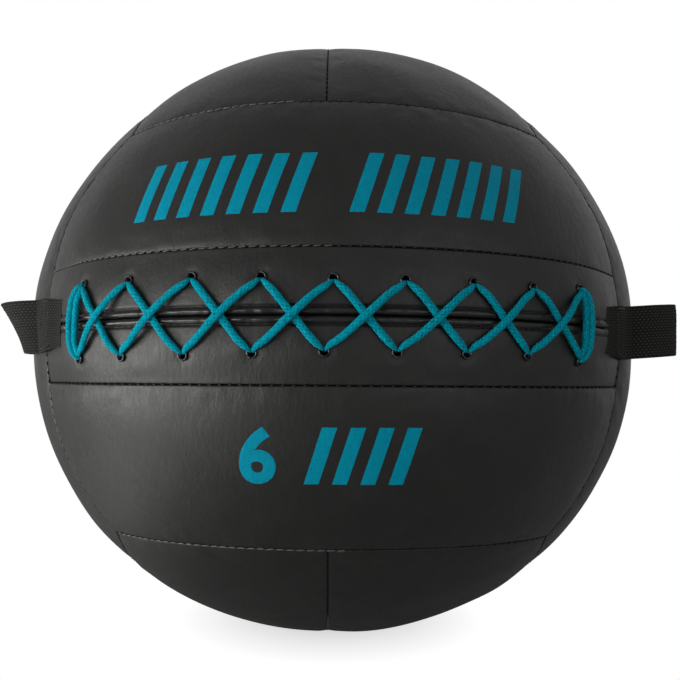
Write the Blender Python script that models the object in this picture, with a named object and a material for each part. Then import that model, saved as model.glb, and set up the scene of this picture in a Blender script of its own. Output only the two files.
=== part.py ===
"""A laced medicine ball for wall throws, with a webbing loop sewn on at each side.

The ball stands on a small flat with its laced face toward -Y and +Z up. Lengths are in metres.
The cover is worked out on a round ball about its own centre, which settle() then presses down
to the standing height.
"""

import math

import bmesh
import bpy
from mathutils import Matrix, Vector

# Ball
ball_radius = 0.175
ball_height = 0.338
rest_depth = 0.0035
panel_crown = 0.003
seam_gap = 0.0003
seat_gap = 0.0003

# Seams of the front face: its half height and its depth as shares of the seams' radius
front_height_share = 0.61628
front_depth_share = 0.526
band_half_height = 0.029

# Laced band
band_crown = 0.0015
band_thickness = 0.002
flap_thickness = 0.0012
flap_half_height = 0.022
flap_end_margin = 0.014

# Eyelets
eyelet_bore = 0.0038
eyelet_wall = 0.0005
eyelet_flange_radius = 0.0032
eyelet_flange_height = 0.0008
eyelet_rim_thickness = 0.0004
eyelet_row_height = 0.0153
eyelet_height_shares = (1.15, 1.11, 1.1, 1.05, 1, 1, 1, 1, 1.13)
eyelet_end_margin = 0.0505
lower_row_shift = -0.0035
eyelet_shares = (-1, -0.745, -0.48, -0.235, 0, 0.235, 0.475, 0.72, 0.98)

# Lace
lace_radius = 0.00165
lace_pressed_radius = 0.0011
lace_tuck_radius = 0.00055
lace_gap = 0.0005
bar_bow = 0.0025
lace_tail_length = 0.009

# Webbing loops
web_width = 0.028
web_thickness = 0.0016
base_length = 0.0265
loop_length = 0.038
loop_tack_length = 0.008
eye_outward = 0.006
eye_inward = 0.001
right_loop_drop = 0.0015
left_loop_drop = 0.0002
right_loop_lift = math.radians(33)
left_loop_lift = math.radians(20)

# Filling
core_radius = 0.058
core_gap = 0.0006

# How finely the curved faces are cut
along_shares = (-1, -0.95, -0.85, -0.71, -0.57, -0.43, -0.29, -0.145, 0,
                0.145, 0.29, 0.43, 0.57, 0.71, 0.85, 0.95, 1)
across_shares = (-1, -0.88, -0.45, 0, 0.45, 0.88, 1)
band_row_shares = (0, 0.035, 0.075, 0.13, 0.3, 0.55, 0.8, 0.94, 1)
band_rise_shares = (0.55, 0.95, 1, 0.72, 0.9, 1, 0.85, 0.45, 0)
flap_row_shares = (-1, -0.5, 0, 0.5, 1)
eyelet_sides = 8
filling_sides = 24
filling_rings = 6
core_rings = 4

# Sizes that follow from those above
ball_half_height = (ball_height + rest_depth) / 2
settle_ratio = ball_half_height / ball_radius
centre_height = ball_height - ball_half_height
seam_radius = ball_radius - panel_crown
front_half_height = seam_radius * front_height_share
front_seam_depth = seam_radius * front_depth_share
side_seam_offset = math.sqrt(seam_radius ** 2 - front_half_height ** 2 - front_seam_depth ** 2)
seam_azimuth = math.acos(front_seam_depth / seam_radius)
band_half_length = seam_azimuth * ball_radius
eyelet_row_half_length = band_half_length - eyelet_end_margin
eyelet_bore_radius = eyelet_bore / 2
eyelet_barrel_radius = eyelet_bore_radius + eyelet_wall


def facet_sag(radius, span, shares):
    """How far the flats between points on an arc lie inside it."""
    step = max(b - a for a, b in zip(shares, shares[1:])) * span
    return radius * (1 - math.cos(step / 2))


along_sag = facet_sag(seam_radius, seam_azimuth, along_shares)
across_sag = facet_sag(seam_radius, seam_azimuth / 2, across_shares)

# Heights under the band, from the seam radius: negative is toward the centre
band_inside = -band_thickness
rim_height = band_inside - along_sag - seat_gap
tuck_height = rim_height - eyelet_rim_thickness - seat_gap - lace_tuck_radius
deep_tuck_height = tuck_height - 2 * lace_tuck_radius - lace_gap
flap_height = deep_tuck_height - lace_tuck_radius - seat_gap
filling_height = flap_height - flap_thickness - along_sag - seat_gap
panel_inside = filling_height + seat_gap + along_sag + across_sag
filling_radius = seam_radius + filling_height


def settle(point):
    """From the round ball about its centre to the standing ball."""
    return Vector((point[0], point[1], point[2] * settle_ratio + centre_height))


def material(name, colour, roughness, metallic=0.0):
    m = bpy.data.materials.new(name)
    m.use_nodes = True
    shader = m.node_tree.nodes["Principled BSDF"]
    shader.inputs["Base Color"].default_value = (*colour, 1)
    shader.inputs["Roughness"].default_value = roughness
    shader.inputs["Metallic"].default_value = metallic
    return m


def add_object(name, bm, look, location=(0, 0, 0), smooth=True):
    bmesh.ops.recalc_face_normals(bm, faces=bm.faces)
    mesh = bpy.data.meshes.new(name)
    bm.to_mesh(mesh)
    bm.free()
    if smooth:
        mesh.shade_smooth()
        mesh.set_sharp_from_angle(angle=math.radians(35))
    mesh.materials.append(look)
    obj = bpy.data.objects.new(name, mesh)
    obj.location = location
    bpy.context.scene.collection.objects.link(obj)
    return obj


def shell(outer, inner):
    """A closed plate between two grids of points of the same count."""
    bm = bmesh.new()
    rows, columns = len(outer), len(outer[0])
    top = [[bm.verts.new(p) for p in row] for row in outer]
    bottom = [[bm.verts.new(p) for p in row] for row in inner]
    for i in range(rows - 1):
        for j in range(columns - 1):
            bm.faces.new((top[i][j], top[i + 1][j], top[i + 1][j + 1], top[i][j + 1]))
            bm.faces.new((bottom[i][j], bottom[i][j + 1], bottom[i + 1][j + 1], bottom[i + 1][j]))
    for i in range(rows - 1):
        for j in (0, columns - 1):
            bm.faces.new((top[i][j], top[i + 1][j], bottom[i + 1][j], bottom[i][j]))
    for j in range(columns - 1):
        for i in (0, rows - 1):
            bm.faces.new((top[i][j], top[i][j + 1], bottom[i][j + 1], bottom[i][j]))
    return bm


def lathe(profile, sides):
    """A closed profile of radius and height, turned about Z."""
    bm = bmesh.new()
    rings = []
    for k in range(sides):
        turn = 2 * math.pi * k / sides
        rings.append([bm.verts.new((r * math.cos(turn), r * math.sin(turn), z)) for r, z in profile])
    for k in range(sides):
        here, after = rings[k], rings[(k + 1) % sides]
        for j in range(len(profile)):
            i = (j + 1) % len(profile)
            bm.faces.new((here[j], after[j], after[i], here[i]))
    return bm


class Face:
    """One of the six faces of the cover: long along one axis, with straight seams across another."""

    def __init__(self, along, across, outward, end):
        self.along = Vector(along)
        self.across = Vector(across)
        self.outward = Vector(outward)
        self.end = end + seam_gap / 2

    def point(self, share, height, radius):
        """A point at a share of the length, a height across and a distance from the centre."""
        reach = math.sqrt(radius ** 2 - height ** 2)
        turn = share * math.acos(self.end / reach)
        flat = self.along * math.sin(turn) + self.outward * math.cos(turn)
        return settle(flat * reach + self.across * height)


front = Face((1, 0, 0), (0, 0, 1), (0, -1, 0), front_seam_depth)
rear = Face((1, 0, 0), (0, 0, 1), (0, 1, 0), front_seam_depth)
top = Face((0, 1, 0), (1, 0, 0), (0, 0, 1), front_half_height)
bottom = Face((0, 1, 0), (1, 0, 0), (0, 0, -1), front_half_height)
left = Face((0, 0, 1), (0, 1, 0), (-1, 0, 0), side_seam_offset)
right = Face((0, 0, 1), (0, 1, 0), (1, 0, 0), side_seam_offset)


def panel_rise(along, across):
    """The crown of a padded panel, which its stitched edges draw in."""
    return panel_crown * (1 - abs(along) ** 4) * (1 - abs(across) ** 4)


def padded_panel(name, face, low, high):
    """A padded panel between two seams of a face."""
    low, high = low + seam_gap / 2, high - seam_gap / 2
    middle, half = (low + high) / 2, (high - low) / 2
    outer = [[face.point(u, middle + half * v, seam_radius + panel_rise(u, v))
              for v in across_shares] for u in along_shares]
    inner = [[face.point(u, middle + half * v, seam_radius + panel_inside)
              for v in across_shares] for u in along_shares]
    bm = shell(outer, inner)
    if face is bottom:
        everything = bm.verts[:] + bm.edges[:] + bm.faces[:]
        bmesh.ops.bisect_plane(bm, geom=everything, dist=seam_gap / 1000, plane_co=(0, 0, 0),
                               plane_no=(0, 0, -1), clear_outer=True)
        rim = [e for e in bm.edges if e.is_boundary]
        bmesh.ops.contextual_create(bm, geom=rim)
    return add_object(name, bm, cover_look)


def band_rise(arc, height):
    """The laced band's surface over the seam radius: rolled lips at the slit, then a low crown."""
    row = min(1, abs(height) / band_half_height)
    rise = 0
    for i in range(len(band_row_shares) - 1):
        a, b = band_row_shares[i], band_row_shares[i + 1]
        if a <= row <= b:
            t = (row - a) / (b - a)
            rise = band_rise_shares[i] * (1 - t) + band_rise_shares[i + 1] * t
    return band_crown * rise * (1 - min(1, abs(arc) / band_half_length) ** 6)


def on_band(arc, height, rise):
    """A point of the round ball by arc from the middle, height over the slit and rise."""
    turn, lift = arc / ball_radius, math.asin(height / ball_radius)
    direction = Vector((math.cos(lift) * math.sin(turn), -math.cos(lift) * math.cos(turn), math.sin(lift)))
    return direction * (seam_radius + rise)


def eyelet_places(sign):
    """Arc and height of the eyelets of the upper (1) or lower (-1) row, from left to right."""
    shift = lower_row_shift if sign < 0 else 0
    ends = [s in (eyelet_shares[0], eyelet_shares[-1]) for s in eyelet_shares]
    return [(s * eyelet_row_half_length + (shift / 2 if end else shift), sign * eyelet_row_height * high)
            for s, end, high in zip(eyelet_shares, ends, eyelet_height_shares)]


def facing(direction):
    """The turn that takes +Z to a direction, keeping X level."""
    z = direction.normalized()
    x = Vector((0, 0, 1)).cross(z).normalized()
    y = z.cross(x)
    return Matrix((x, y, z)).transposed().to_4x4()


def band_panel(name, sign):
    """The half of the laced band over or under the slit, with its eyelet holes."""
    low, high = seam_gap / 2, band_half_height - seam_gap / 2
    heights = [low + (high - low) * s for s in band_row_shares]
    outer = [[front.point(u, sign * h, seam_radius + band_rise(u * band_half_length, h))
              for h in heights] for u in along_shares]
    inner = [[front.point(u, sign * h, seam_radius + band_inside) for h in heights]
             for u in along_shares]
    panel = add_object(name, shell(outer, inner), cover_look)
    punch = bmesh.new()
    for arc, height in eyelet_places(sign):
        middle = on_band(arc, height, (band_inside + band_crown) / 2)
        place = Matrix.Translation(settle(middle)) @ facing(middle)
        bmesh.ops.create_cone(punch, cap_ends=True, segments=eyelet_sides,
                              radius1=eyelet_barrel_radius + seat_gap,
                              radius2=eyelet_barrel_radius + seat_gap,
                              depth=4 * (band_thickness + band_crown), matrix=place)
    cutter = add_object(name + "_punch", punch, cover_look, smooth=False)
    cutter.hide_render = True
    cutter.display_type = "WIRE"
    cut = panel.modifiers.new("eyelet_holes", "BOOLEAN")
    cut.operation = "DIFFERENCE"
    cut.solver = "EXACT"
    cut.object = cutter
    return panel


def eyelet(name, arc, height):
    """A pressed eyelet: domed flange, barrel through the band and rolled rim behind it."""
    rise = band_rise(arc, height) + seat_gap
    depth = rise - rim_height
    rolled_radius = (eyelet_barrel_radius + 2 * eyelet_flange_radius) / 3
    dome = (eyelet_bore_radius + eyelet_flange_radius) / 2
    profile = [(eyelet_bore_radius, eyelet_flange_height / 2),
               (eyelet_bore_radius, -depth - eyelet_rim_thickness),
               (rolled_radius, -depth - eyelet_rim_thickness),
               (rolled_radius, -depth),
               (eyelet_barrel_radius, -depth),
               (eyelet_barrel_radius, 0),
               (eyelet_flange_radius, 0),
               (dome, eyelet_flange_height)]
    point = on_band(arc, height, rise)
    obj = add_object(name, lathe(profile, eyelet_sides), metal_look, settle(point))
    obj.rotation_euler = facing(point).to_euler()
    return obj


def channel(arc, height, side, lift):
    """Where one of the lace's strands stands in an eyelet, by its offset from the middle."""
    return arc + side, height + lift


def lace_route():
    """The lace from its hidden start to its hidden end, as arc, height, rise and radius."""
    upper, lower = eyelet_places(1), eyelet_places(-1)
    last = len(upper) - 1
    pair = lace_tuck_radius + lace_gap / 2
    far = 2 * pair / math.sqrt(3)
    near = far / 2
    aside = far * math.sin(math.radians(60))
    top_of_eyelet = band_crown + seat_gap + eyelet_flange_height
    over_eyelet = top_of_eyelet + seat_gap + lace_radius
    on_lips = band_crown + seat_gap + lace_pressed_radius
    over_strand = on_lips + 2 * lace_pressed_radius + lace_gap
    route = []

    def add(arc, height, rise, radius):
        route.append((arc, height, rise, radius))

    def blend(a, b, t):
        return tuple(p * (1 - t) + q * t for p, q in zip(a, b))

    def out_of(place):
        add(*place, band_inside, lace_tuck_radius)
        add(*place, top_of_eyelet, lace_tuck_radius)

    def into(place):
        add(*place, top_of_eyelet, lace_tuck_radius)
        add(*place, band_inside, lace_tuck_radius)

    def cross(a, b, middle):
        """Over the slit from eyelet to eyelet; middle is the strand's rise where strands cross."""
        pressed = lace_pressed_radius
        out_of(a)
        add(*blend(a, b, 0.05), over_eyelet - lace_tuck_radius, (lace_radius + lace_tuck_radius) / 2)
        add(*blend(a, b, 0.13), over_eyelet, lace_radius * 0.92)
        add(*blend(a, b, 0.27), (over_eyelet + middle) / 2, lace_radius)
        add(*blend(a, b, 0.42), middle, pressed)
        add(*blend(a, b, 0.58), middle, pressed)
        add(*blend(a, b, 0.73), (over_eyelet + middle) / 2, lace_radius)
        add(*blend(a, b, 0.87), over_eyelet, lace_radius * 0.92)
        add(*blend(a, b, 0.95), over_eyelet - lace_tuck_radius, (lace_radius + lace_tuck_radius) / 2)
        into(b)

    def bar(a, b, way, bow, start):
        """A strand that closes an end of the slit, bowed away from the middle of the ball."""
        out_of(a)
        lift = 0 if start else 1
        rise_a = 2 * lace_radius * lift
        add(a[0] + way * bow * 0.45, a[1] + rise_a, over_eyelet - lace_tuck_radius,
            (lace_radius + lace_tuck_radius) / 2)
        add(a[0] + way * bow * 0.95, a[1] - lace_radius + rise_a / 2, over_eyelet, lace_radius * 0.92)
        add(a[0] + way * bow * 1.15, (a[1] * 2 + b[1]) / 3, on_lips + lace_pressed_radius, lace_radius)
        add(b[0] + way * bow * 1.15, (a[1] + b[1] * 2) / 3, on_lips + lace_pressed_radius, lace_radius)
        add(b[0] + way * bow * 0.95, b[1] + lace_radius - rise_a / 2, over_eyelet, lace_radius * 0.92)
        add(b[0] + way * bow * 0.45, b[1] - rise_a, over_eyelet - lace_tuck_radius,
            (lace_radius + lace_tuck_radius) / 2)
        into(b)

    def tuck(a, b, depth_a, depth_b, bow):
        """Behind the band from a lower eyelet to an upper one."""
        deep = min(depth_a, depth_b)
        add(*a, depth_a, lace_tuck_radius)
        for t in (0.5,) if depth_a == depth_b else (0.2, 0.5, 0.8):
            arc, height = blend(a, b, t)
            add(arc + bow * (1 - (2 * t - 1) ** 2), height, deep, lace_tuck_radius)
        add(*b, depth_b, lace_tuck_radius)

    def end_places(index, way):
        """The three strands in each end eyelet: the crossing one, the inner and the outer bar."""
        (ua, uh), (la, lh) = upper[index], lower[index]
        return {"cross_up": channel(ua, uh, -way * aside, -near),
                "inner_up": channel(ua, uh, way * aside, -near),
                "outer_up": channel(ua, uh, 0, far),
                "cross_low": channel(la, lh, -way * aside, near),
                "inner_low": channel(la, lh, way * aside, near),
                "outer_low": channel(la, lh, 0, -far)}

    first, final = end_places(0, -1), end_places(last, 1)
    inner_bow, outer_bow = bar_bow, bar_bow + 2 * lace_radius + 2 * lace_gap

    start = first["inner_up"]
    add(start[0] + bar_bow / 2, start[1] - lace_tail_length, tuck_height, lace_tuck_radius)
    add(*start, tuck_height, lace_tuck_radius)
    bar(first["inner_up"], first["inner_low"], -1, inner_bow, True)
    tuck(first["inner_low"], first["outer_up"], tuck_height, deep_tuck_height, -bar_bow)
    bar(first["outer_up"], first["outer_low"], -1, outer_bow, False)
    tuck(first["outer_low"], first["cross_up"], deep_tuck_height, tuck_height, bar_bow)

    here = first["cross_up"]
    for i in range(1, last + 1):
        if i < last:
            low, high = channel(*lower[i], -pair, 0), channel(*upper[i], pair, 0)
        else:
            low, high = final["cross_low"], final["inner_up"]
        cross(here, low, on_lips)
        tuck(low, high, tuck_height, tuck_height, 0)
        here = high
    bar(final["inner_up"], final["inner_low"], 1, inner_bow, True)
    tuck(final["inner_low"], final["outer_up"], tuck_height, deep_tuck_height, bar_bow)
    bar(final["outer_up"], final["outer_low"], 1, outer_bow, False)
    tuck(final["outer_low"], final["cross_up"], deep_tuck_height, tuck_height, -bar_bow)

    here = final["cross_up"]
    for i in range(last - 1, -1, -1):
        if i > 0:
            low, high = channel(*lower[i], pair, 0), channel(*upper[i], -pair, 0)
        else:
            low, high = first["cross_low"], None
        cross(here, low, over_strand)
        if high:
            tuck(low, high, deep_tuck_height, deep_tuck_height, 0)
            here = high
    add(*low, tuck_height, lace_tuck_radius)
    add(low[0] + bar_bow / 2, low[1] + lace_tail_length, tuck_height, lace_tuck_radius)
    return route


def make_lace():
    """One unbroken lace through all the eyelets."""
    route = lace_route()
    curve = bpy.data.curves.new("lace", "CURVE")
    curve.dimensions = "3D"
    curve.bevel_depth = lace_radius
    curve.bevel_resolution = 1
    curve.use_fill_caps = True
    spline = curve.splines.new("POLY")
    spline.points.add(len(route) - 1)
    for point, (arc, height, rise, radius) in zip(spline.points, route):
        point.co = (*settle(on_band(arc, height, rise)), 1)
        point.radius = radius / lace_radius
    curve.materials.append(lace_look)
    obj = bpy.data.objects.new("lace", curve)
    bpy.context.scene.collection.objects.link(obj)
    print("lace to itself: %.5f m" % least_gap(route))
    return obj


def least_gap(route):
    """The least clear distance between stretches of the lace that aren't next to each other."""
    samples = []
    along = 0
    for a, b in zip(route, route[1:]):
        p, q = on_band(*a[:3]), on_band(*b[:3])
        for k in range(4):
            t = k / 4
            samples.append((p.lerp(q, t), a[3] * (1 - t) + b[3] * t, along + (q - p).length * t))
        along += (q - p).length
    best = ball_radius
    for i, (p, r, s) in enumerate(samples):
        for q, o, t in samples[i + 1:]:
            if t - s > 4 * (r + o):
                best = min(best, (p - q).length - r - o)
    return best


def make_flap():
    """The tongue behind the slit."""
    end = (band_half_length - flap_end_margin) / band_half_length
    outer = [[front.point(u * end, v * flap_half_height, seam_radius + flap_height)
              for v in flap_row_shares] for u in along_shares]
    inner = [[front.point(u * end, v * flap_half_height, seam_radius + flap_height - flap_thickness)
              for v in flap_row_shares] for u in along_shares]
    return add_object("lacing_flap", shell(outer, inner), flap_look)


def make_filling(name, sign):
    """One half of the packed filling, with half of the hollow that holds the core."""
    hollow = core_radius + core_gap
    start = math.asin(seam_gap / 2 / filling_radius)
    hollow_start = math.asin(seam_gap / 2 / hollow)
    quarter = math.pi / 2
    profile = []
    for k in range(filling_rings):
        turn = start + (quarter - start) * k / filling_rings
        profile.append((filling_radius * math.cos(turn), filling_radius * math.sin(turn)))
    inside = []
    for k in range(core_rings):
        turn = hollow_start + (quarter - hollow_start) * k / core_rings
        inside.append((hollow * math.cos(turn), hollow * math.sin(turn)))
    bm = bmesh.new()
    way = Vector((0, sign, 0))
    side, up = Vector((1, 0, 0)), Vector((0, 0, 1))

    def ring(radius, depth):
        turns = [2 * math.pi * k / filling_sides for k in range(filling_sides)]
        return [bm.verts.new(settle(side * radius * math.cos(t) + up * radius * math.sin(t) + way * depth))
                for t in turns]

    def join(a, b):
        for k in range(filling_sides):
            n = (k + 1) % filling_sides
            bm.faces.new((a[k], a[n], b[n], b[k]))

    def close(a, tip):
        point = bm.verts.new(settle(way * tip))
        for k in range(filling_sides):
            bm.faces.new((a[k], a[(k + 1) % filling_sides], point))

    outer = [ring(*p) for p in profile]
    inner = [ring(*p) for p in inside]
    for a, b in zip(outer, outer[1:]):
        join(a, b)
    for a, b in zip(inner, inner[1:]):
        join(a, b)
    join(outer[0], inner[0])
    close(outer[-1], filling_radius)
    close(inner[-1], hollow)
    return add_object(name, bm, filling_look)


def make_core():
    """The weight bag in the middle of the filling."""
    inside = core_radius * math.cos(math.pi / filling_sides) * math.cos(math.pi / 4 / core_rings)
    bm = bmesh.new()
    bmesh.ops.create_uvsphere(bm, u_segments=filling_sides, v_segments=core_rings * 3, radius=inside)
    for v in bm.verts:
        v.co = settle(v.co)
    return add_object("core_bag", bm, core_look)


def hinge_frame(way):
    """The fold line of a loop: a point of it, the outward and the rearward direction."""
    arc = band_half_length - web_thickness
    turn = arc / ball_radius
    outward = Vector((way * math.sin(turn), -math.cos(turn), 0))
    rearward = Vector((way * math.cos(turn), math.sin(turn), 0))
    rise = band_crown * (1 - (arc / band_half_length) ** 6) + seat_gap + 2 * web_thickness
    return arc, outward * (seam_radius + rise), outward, rearward


def make_base(name, way, drop):
    """The sewn-down end of a webbing loop, over the end of the slit."""
    arc_out = hinge_frame(way)[0] - seam_gap / 2
    heights = [web_width * s - drop for s in (-0.5, -0.25, 0, 0.25, 0.5)]
    outer, inner = [], []
    for k in range(5):
        arc = arc_out - base_length * (1 - k / 4)
        rise = band_crown * (1 - (arc / band_half_length) ** 6) + seat_gap
        inner.append([settle(on_band(way * arc, h, rise)) for h in heights])
        outer.append([settle(on_band(way * arc, h, rise + 2 * web_thickness)) for h in heights])
    return add_object(name, shell(outer, inner), web_look)


def loop_outline(samples):
    """The loop's section as distance from the fold and offset from its outer face."""
    reach = loop_length - loop_tack_length
    outer_path, inner_path, hole_out, hole_in = [], [], [], []

    def bulge(s):
        x = min(1, max(0, (s - loop_tack_length) / reach))
        return math.sin(math.pi * x) ** 0.8 if 0 < x < 1 else 0

    first = loop_tack_length + reach * 0.12
    hole_end = loop_length - reach * 0.09
    for k in range(samples):
        t = k / (samples - 1)
        s = seam_gap / 2 + (loop_length - seam_gap / 2) * t
        pinch = web_thickness / 2 if k == samples - 1 else 0
        outer_path.append((s, -seam_gap / 2 + eye_outward * bulge(s) - pinch))
        inner_path.append((s, -seam_gap / 2 - 2 * web_thickness - eye_inward * bulge(s) + pinch))
        s = first + (hole_end - first) * t
        hole_out.append((s, -seam_gap / 2 - web_thickness + eye_outward * bulge(s)))
        hole_in.append((s, -seam_gap / 2 - web_thickness - eye_inward * bulge(s)))
    return outer_path + inner_path[::-1], hole_out + hole_in[::-1]


def make_loop(name, way, drop, lift):
    """A webbing loop that swings about its fold line; its origin is on that line."""
    arc, place, outward, rearward = hinge_frame(way)
    rim, hole = loop_outline(9)
    bm = bmesh.new()
    rims, holes = [], []
    ahead = rearward * math.cos(lift) + outward * math.sin(lift)
    out = outward * math.cos(lift) - rearward * math.sin(lift)
    for height in (Vector((0, 0, -web_width / 2)), Vector((0, 0, web_width / 2))):
        rims.append([bm.verts.new(ahead * s + out * w + height) for s, w in rim])
        holes.append([bm.verts.new(ahead * s + out * w + height) for s, w in hole])
    count = len(rim)
    for j in range(count):
        n = (j + 1) % count
        bm.faces.new((rims[0][j], rims[0][n], rims[1][n], rims[1][j]))
        bm.faces.new((holes[0][j], holes[1][j], holes[1][n], holes[0][n]))
        bm.faces.new((rims[0][j], holes[0][j], holes[0][n], rims[0][n]))
        bm.faces.new((rims[1][j], rims[1][n], holes[1][n], holes[1][j]))
    middle = settle(place)
    middle.z -= drop
    return add_object(name, bm, web_look, middle)


for old in list(bpy.data.objects):
    bpy.data.objects.remove(old, do_unlink=True)

cover_look = material("cover_black", (0.016, 0.016, 0.018), 0.42)
flap_look = material("flap_black", (0.01, 0.01, 0.011), 0.7)
metal_look = material("eyelet_gunmetal", (0.03, 0.03, 0.033), 0.3, 1.0)
lace_look = material("lace_turquoise", (0.005, 0.35, 0.45), 0.85)
web_look = material("webbing_black", (0.012, 0.012, 0.013), 0.8)
filling_look = material("filling_grey", (0.35, 0.34, 0.32), 0.95)
core_look = material("core_canvas", (0.25, 0.22, 0.17), 0.9)

padded_panel("front_upper_panel", front, band_half_height, front_half_height)
padded_panel("front_lower_panel", front, -front_half_height, -band_half_height)
band_panel("lacing_upper_band", 1)
band_panel("lacing_lower_band", -1)
padded_panel("rear_upper_panel", rear, 0, front_half_height)
padded_panel("rear_lower_panel", rear, -front_half_height, 0)
padded_panel("top_left_panel", top, -side_seam_offset, 0)
padded_panel("top_right_panel", top, 0, side_seam_offset)
padded_panel("bottom_left_panel", bottom, -side_seam_offset, 0)
padded_panel("bottom_right_panel", bottom, 0, side_seam_offset)
padded_panel("left_front_panel", left, -front_seam_depth, 0)
padded_panel("left_rear_panel", left, 0, front_seam_depth)
padded_panel("right_front_panel", right, -front_seam_depth, 0)
padded_panel("right_rear_panel", right, 0, front_seam_depth)

for row, sign in (("upper", 1), ("lower", -1)):
    for number, (arc, height) in enumerate(eyelet_places(sign), start=1):
        eyelet("%s_eyelet_%d" % (row, number), arc, height)

make_lace()
make_flap()
make_filling("filling_front", -1)
make_filling("filling_rear", 1)
make_core()
make_base("left_loop_base", -1, left_loop_drop)
make_base("right_loop_base", 1, right_loop_drop)
make_loop("left_webbing_loop", -1, left_loop_drop, left_loop_lift)
make_loop("right_webbing_loop", 1, right_loop_drop, right_loop_lift)
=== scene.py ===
"""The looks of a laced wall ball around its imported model, laid out as an add-on.

Every piece is worked out in the model's own frame, in metres. The cover is worked out on a round
ball about its own centre, which Ball.settle() then presses down to the standing height.
"""

import math

import bmesh
import bpy
import numpy as np
from bpy.props import FloatProperty, FloatVectorProperty, IntProperty, PointerProperty
from mathutils import Matrix, Vector
from mathutils.bvhtree import BVHTree


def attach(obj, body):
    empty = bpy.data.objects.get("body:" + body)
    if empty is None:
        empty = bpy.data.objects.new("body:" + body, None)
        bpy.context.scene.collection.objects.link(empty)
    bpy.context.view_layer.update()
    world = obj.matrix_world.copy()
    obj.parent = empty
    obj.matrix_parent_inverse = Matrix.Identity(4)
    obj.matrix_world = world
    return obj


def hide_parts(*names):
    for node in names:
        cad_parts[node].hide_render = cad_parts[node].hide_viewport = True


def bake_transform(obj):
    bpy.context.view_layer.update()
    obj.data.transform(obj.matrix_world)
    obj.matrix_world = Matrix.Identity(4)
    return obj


bl_info = {
    "name": "Laced Wall Ball",
    "version": (1, 0, 0),
    "blender": (4, 5, 0),
    "location": "3D View > Sidebar > Wall Ball",
    "description": "Leather panels, lacing, webbing loops and stage of a wall ball",
    "category": "Object",
}

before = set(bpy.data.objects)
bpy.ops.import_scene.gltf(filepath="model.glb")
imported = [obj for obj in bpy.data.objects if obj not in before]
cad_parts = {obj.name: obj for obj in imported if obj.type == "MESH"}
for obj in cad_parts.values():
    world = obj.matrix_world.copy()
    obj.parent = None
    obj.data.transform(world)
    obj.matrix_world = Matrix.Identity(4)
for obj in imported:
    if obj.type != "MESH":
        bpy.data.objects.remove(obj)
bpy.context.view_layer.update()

IMAGE_SIDE = 680
PICTURE_CENTRE = (332.8, 339.9)
MM = 0.001
ROWS = (("upper", 1), ("lower", -1))
SIDES = (("left", -1), ("right", 1))


def length(name, description, default):
    """A size in metres that a user may change."""
    return FloatProperty(name=name, description=description, default=default, min=0.0,
                         precision=5, unit="LENGTH", subtype="DISTANCE")


def offset(name, description, default):
    """A distance in metres that may lie either way."""
    return FloatProperty(name=name, description=description, default=default,
                         precision=5, unit="LENGTH", subtype="DISTANCE")


def share(name, description, default):
    """A share of another size."""
    return FloatProperty(name=name, description=description, default=default, subtype="FACTOR",
                         min=0.0, max=1.0, precision=5)


def turn(name, description, degrees):
    """An angle that a user may change."""
    return FloatProperty(name=name, description=description, default=math.radians(degrees),
                         unit="ROTATION", subtype="ANGLE")


def colour(name, description, default):
    """A colour in linear light."""
    return FloatVectorProperty(name=name, description=description, default=default, size=3,
                               min=0.0, max=1.0, subtype="COLOR")


class CoverSizes(bpy.types.PropertyGroup):
    """Sizes of the ball and of its sewn leather panels."""

    ball_radius: length("Ball radius", "Half the width of the ball", 0.175)
    ball_height: length("Standing height", "Height of the ball as it stands", 0.338)
    rest_depth: length("Rest depth", "How deep the flat under the ball is", 0.0035)
    panel_crown: length("Panel crown", "How far a padded panel stands over its seams", 0.003)
    front_height: share("Front height", "Half height of the front face, of the seams' radius", 0.594)
    front_depth: share("Front depth", "Depth of the front's end seams, of the seams' radius", 0.530)
    band_half_height: length("Half band", "Height of the laced band on each side of the slit", 0.029)
    band_crown: length("Band crown", "How far the laced band stands over the seams' radius", 0.0023)
    seam_lift: length("Seam lift", "How far the filling lifts a seam between its corners", 0.0019)
    top_shift: offset("Top seam shift", "How far the top's middle seam lies off centre", -0.0036)
    bottom_shift: offset("Bottom seam shift", "The same of the bottom's middle seam", -0.0014)
    seam_gap: length("Seam gap", "Open line between two sewn panels", 0.0003)
    seam_depth: length("Seam depth", "How deep a panel's edge rolls in at a seam", 0.0008)
    seam_roll: length("Seam roll", "Width of the rolled edge beside a seam", 0.0007)
    panel_thickness: length("Panel thickness", "Leather and padding under the seams' radius", 0.006)
    band_thickness: length("Band thickness", "Leather of the laced band", 0.002)
    undulation: length("Undulation", "Slow waves of the packed leather", 0.00028)
    pucker: length("Pucker", "Short waves beside the seams", 0.00016)
    press_limit: length("Press limit", "The most that the filling presses a panel out", 0.0011)
    fullness: FloatVectorProperty(name="Fullness", size=4, precision=5, unit="LENGTH",
                                  description="Fuller or slacker at the front corners, upper "
                                              "left, upper right, lower left and lower right",
                                  default=(-0.0018, -0.0012, 0.0026, 0.0030))
    stitch_pitch: length("Stitch pitch", "From one seam stitch to the next", 0.0045)
    stitch_length: length("Stitch length", "Seen length of a seam stitch", 0.0036)
    thread_radius: length("Thread radius", "Half the thickness of the thread", 0.00042)


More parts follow.
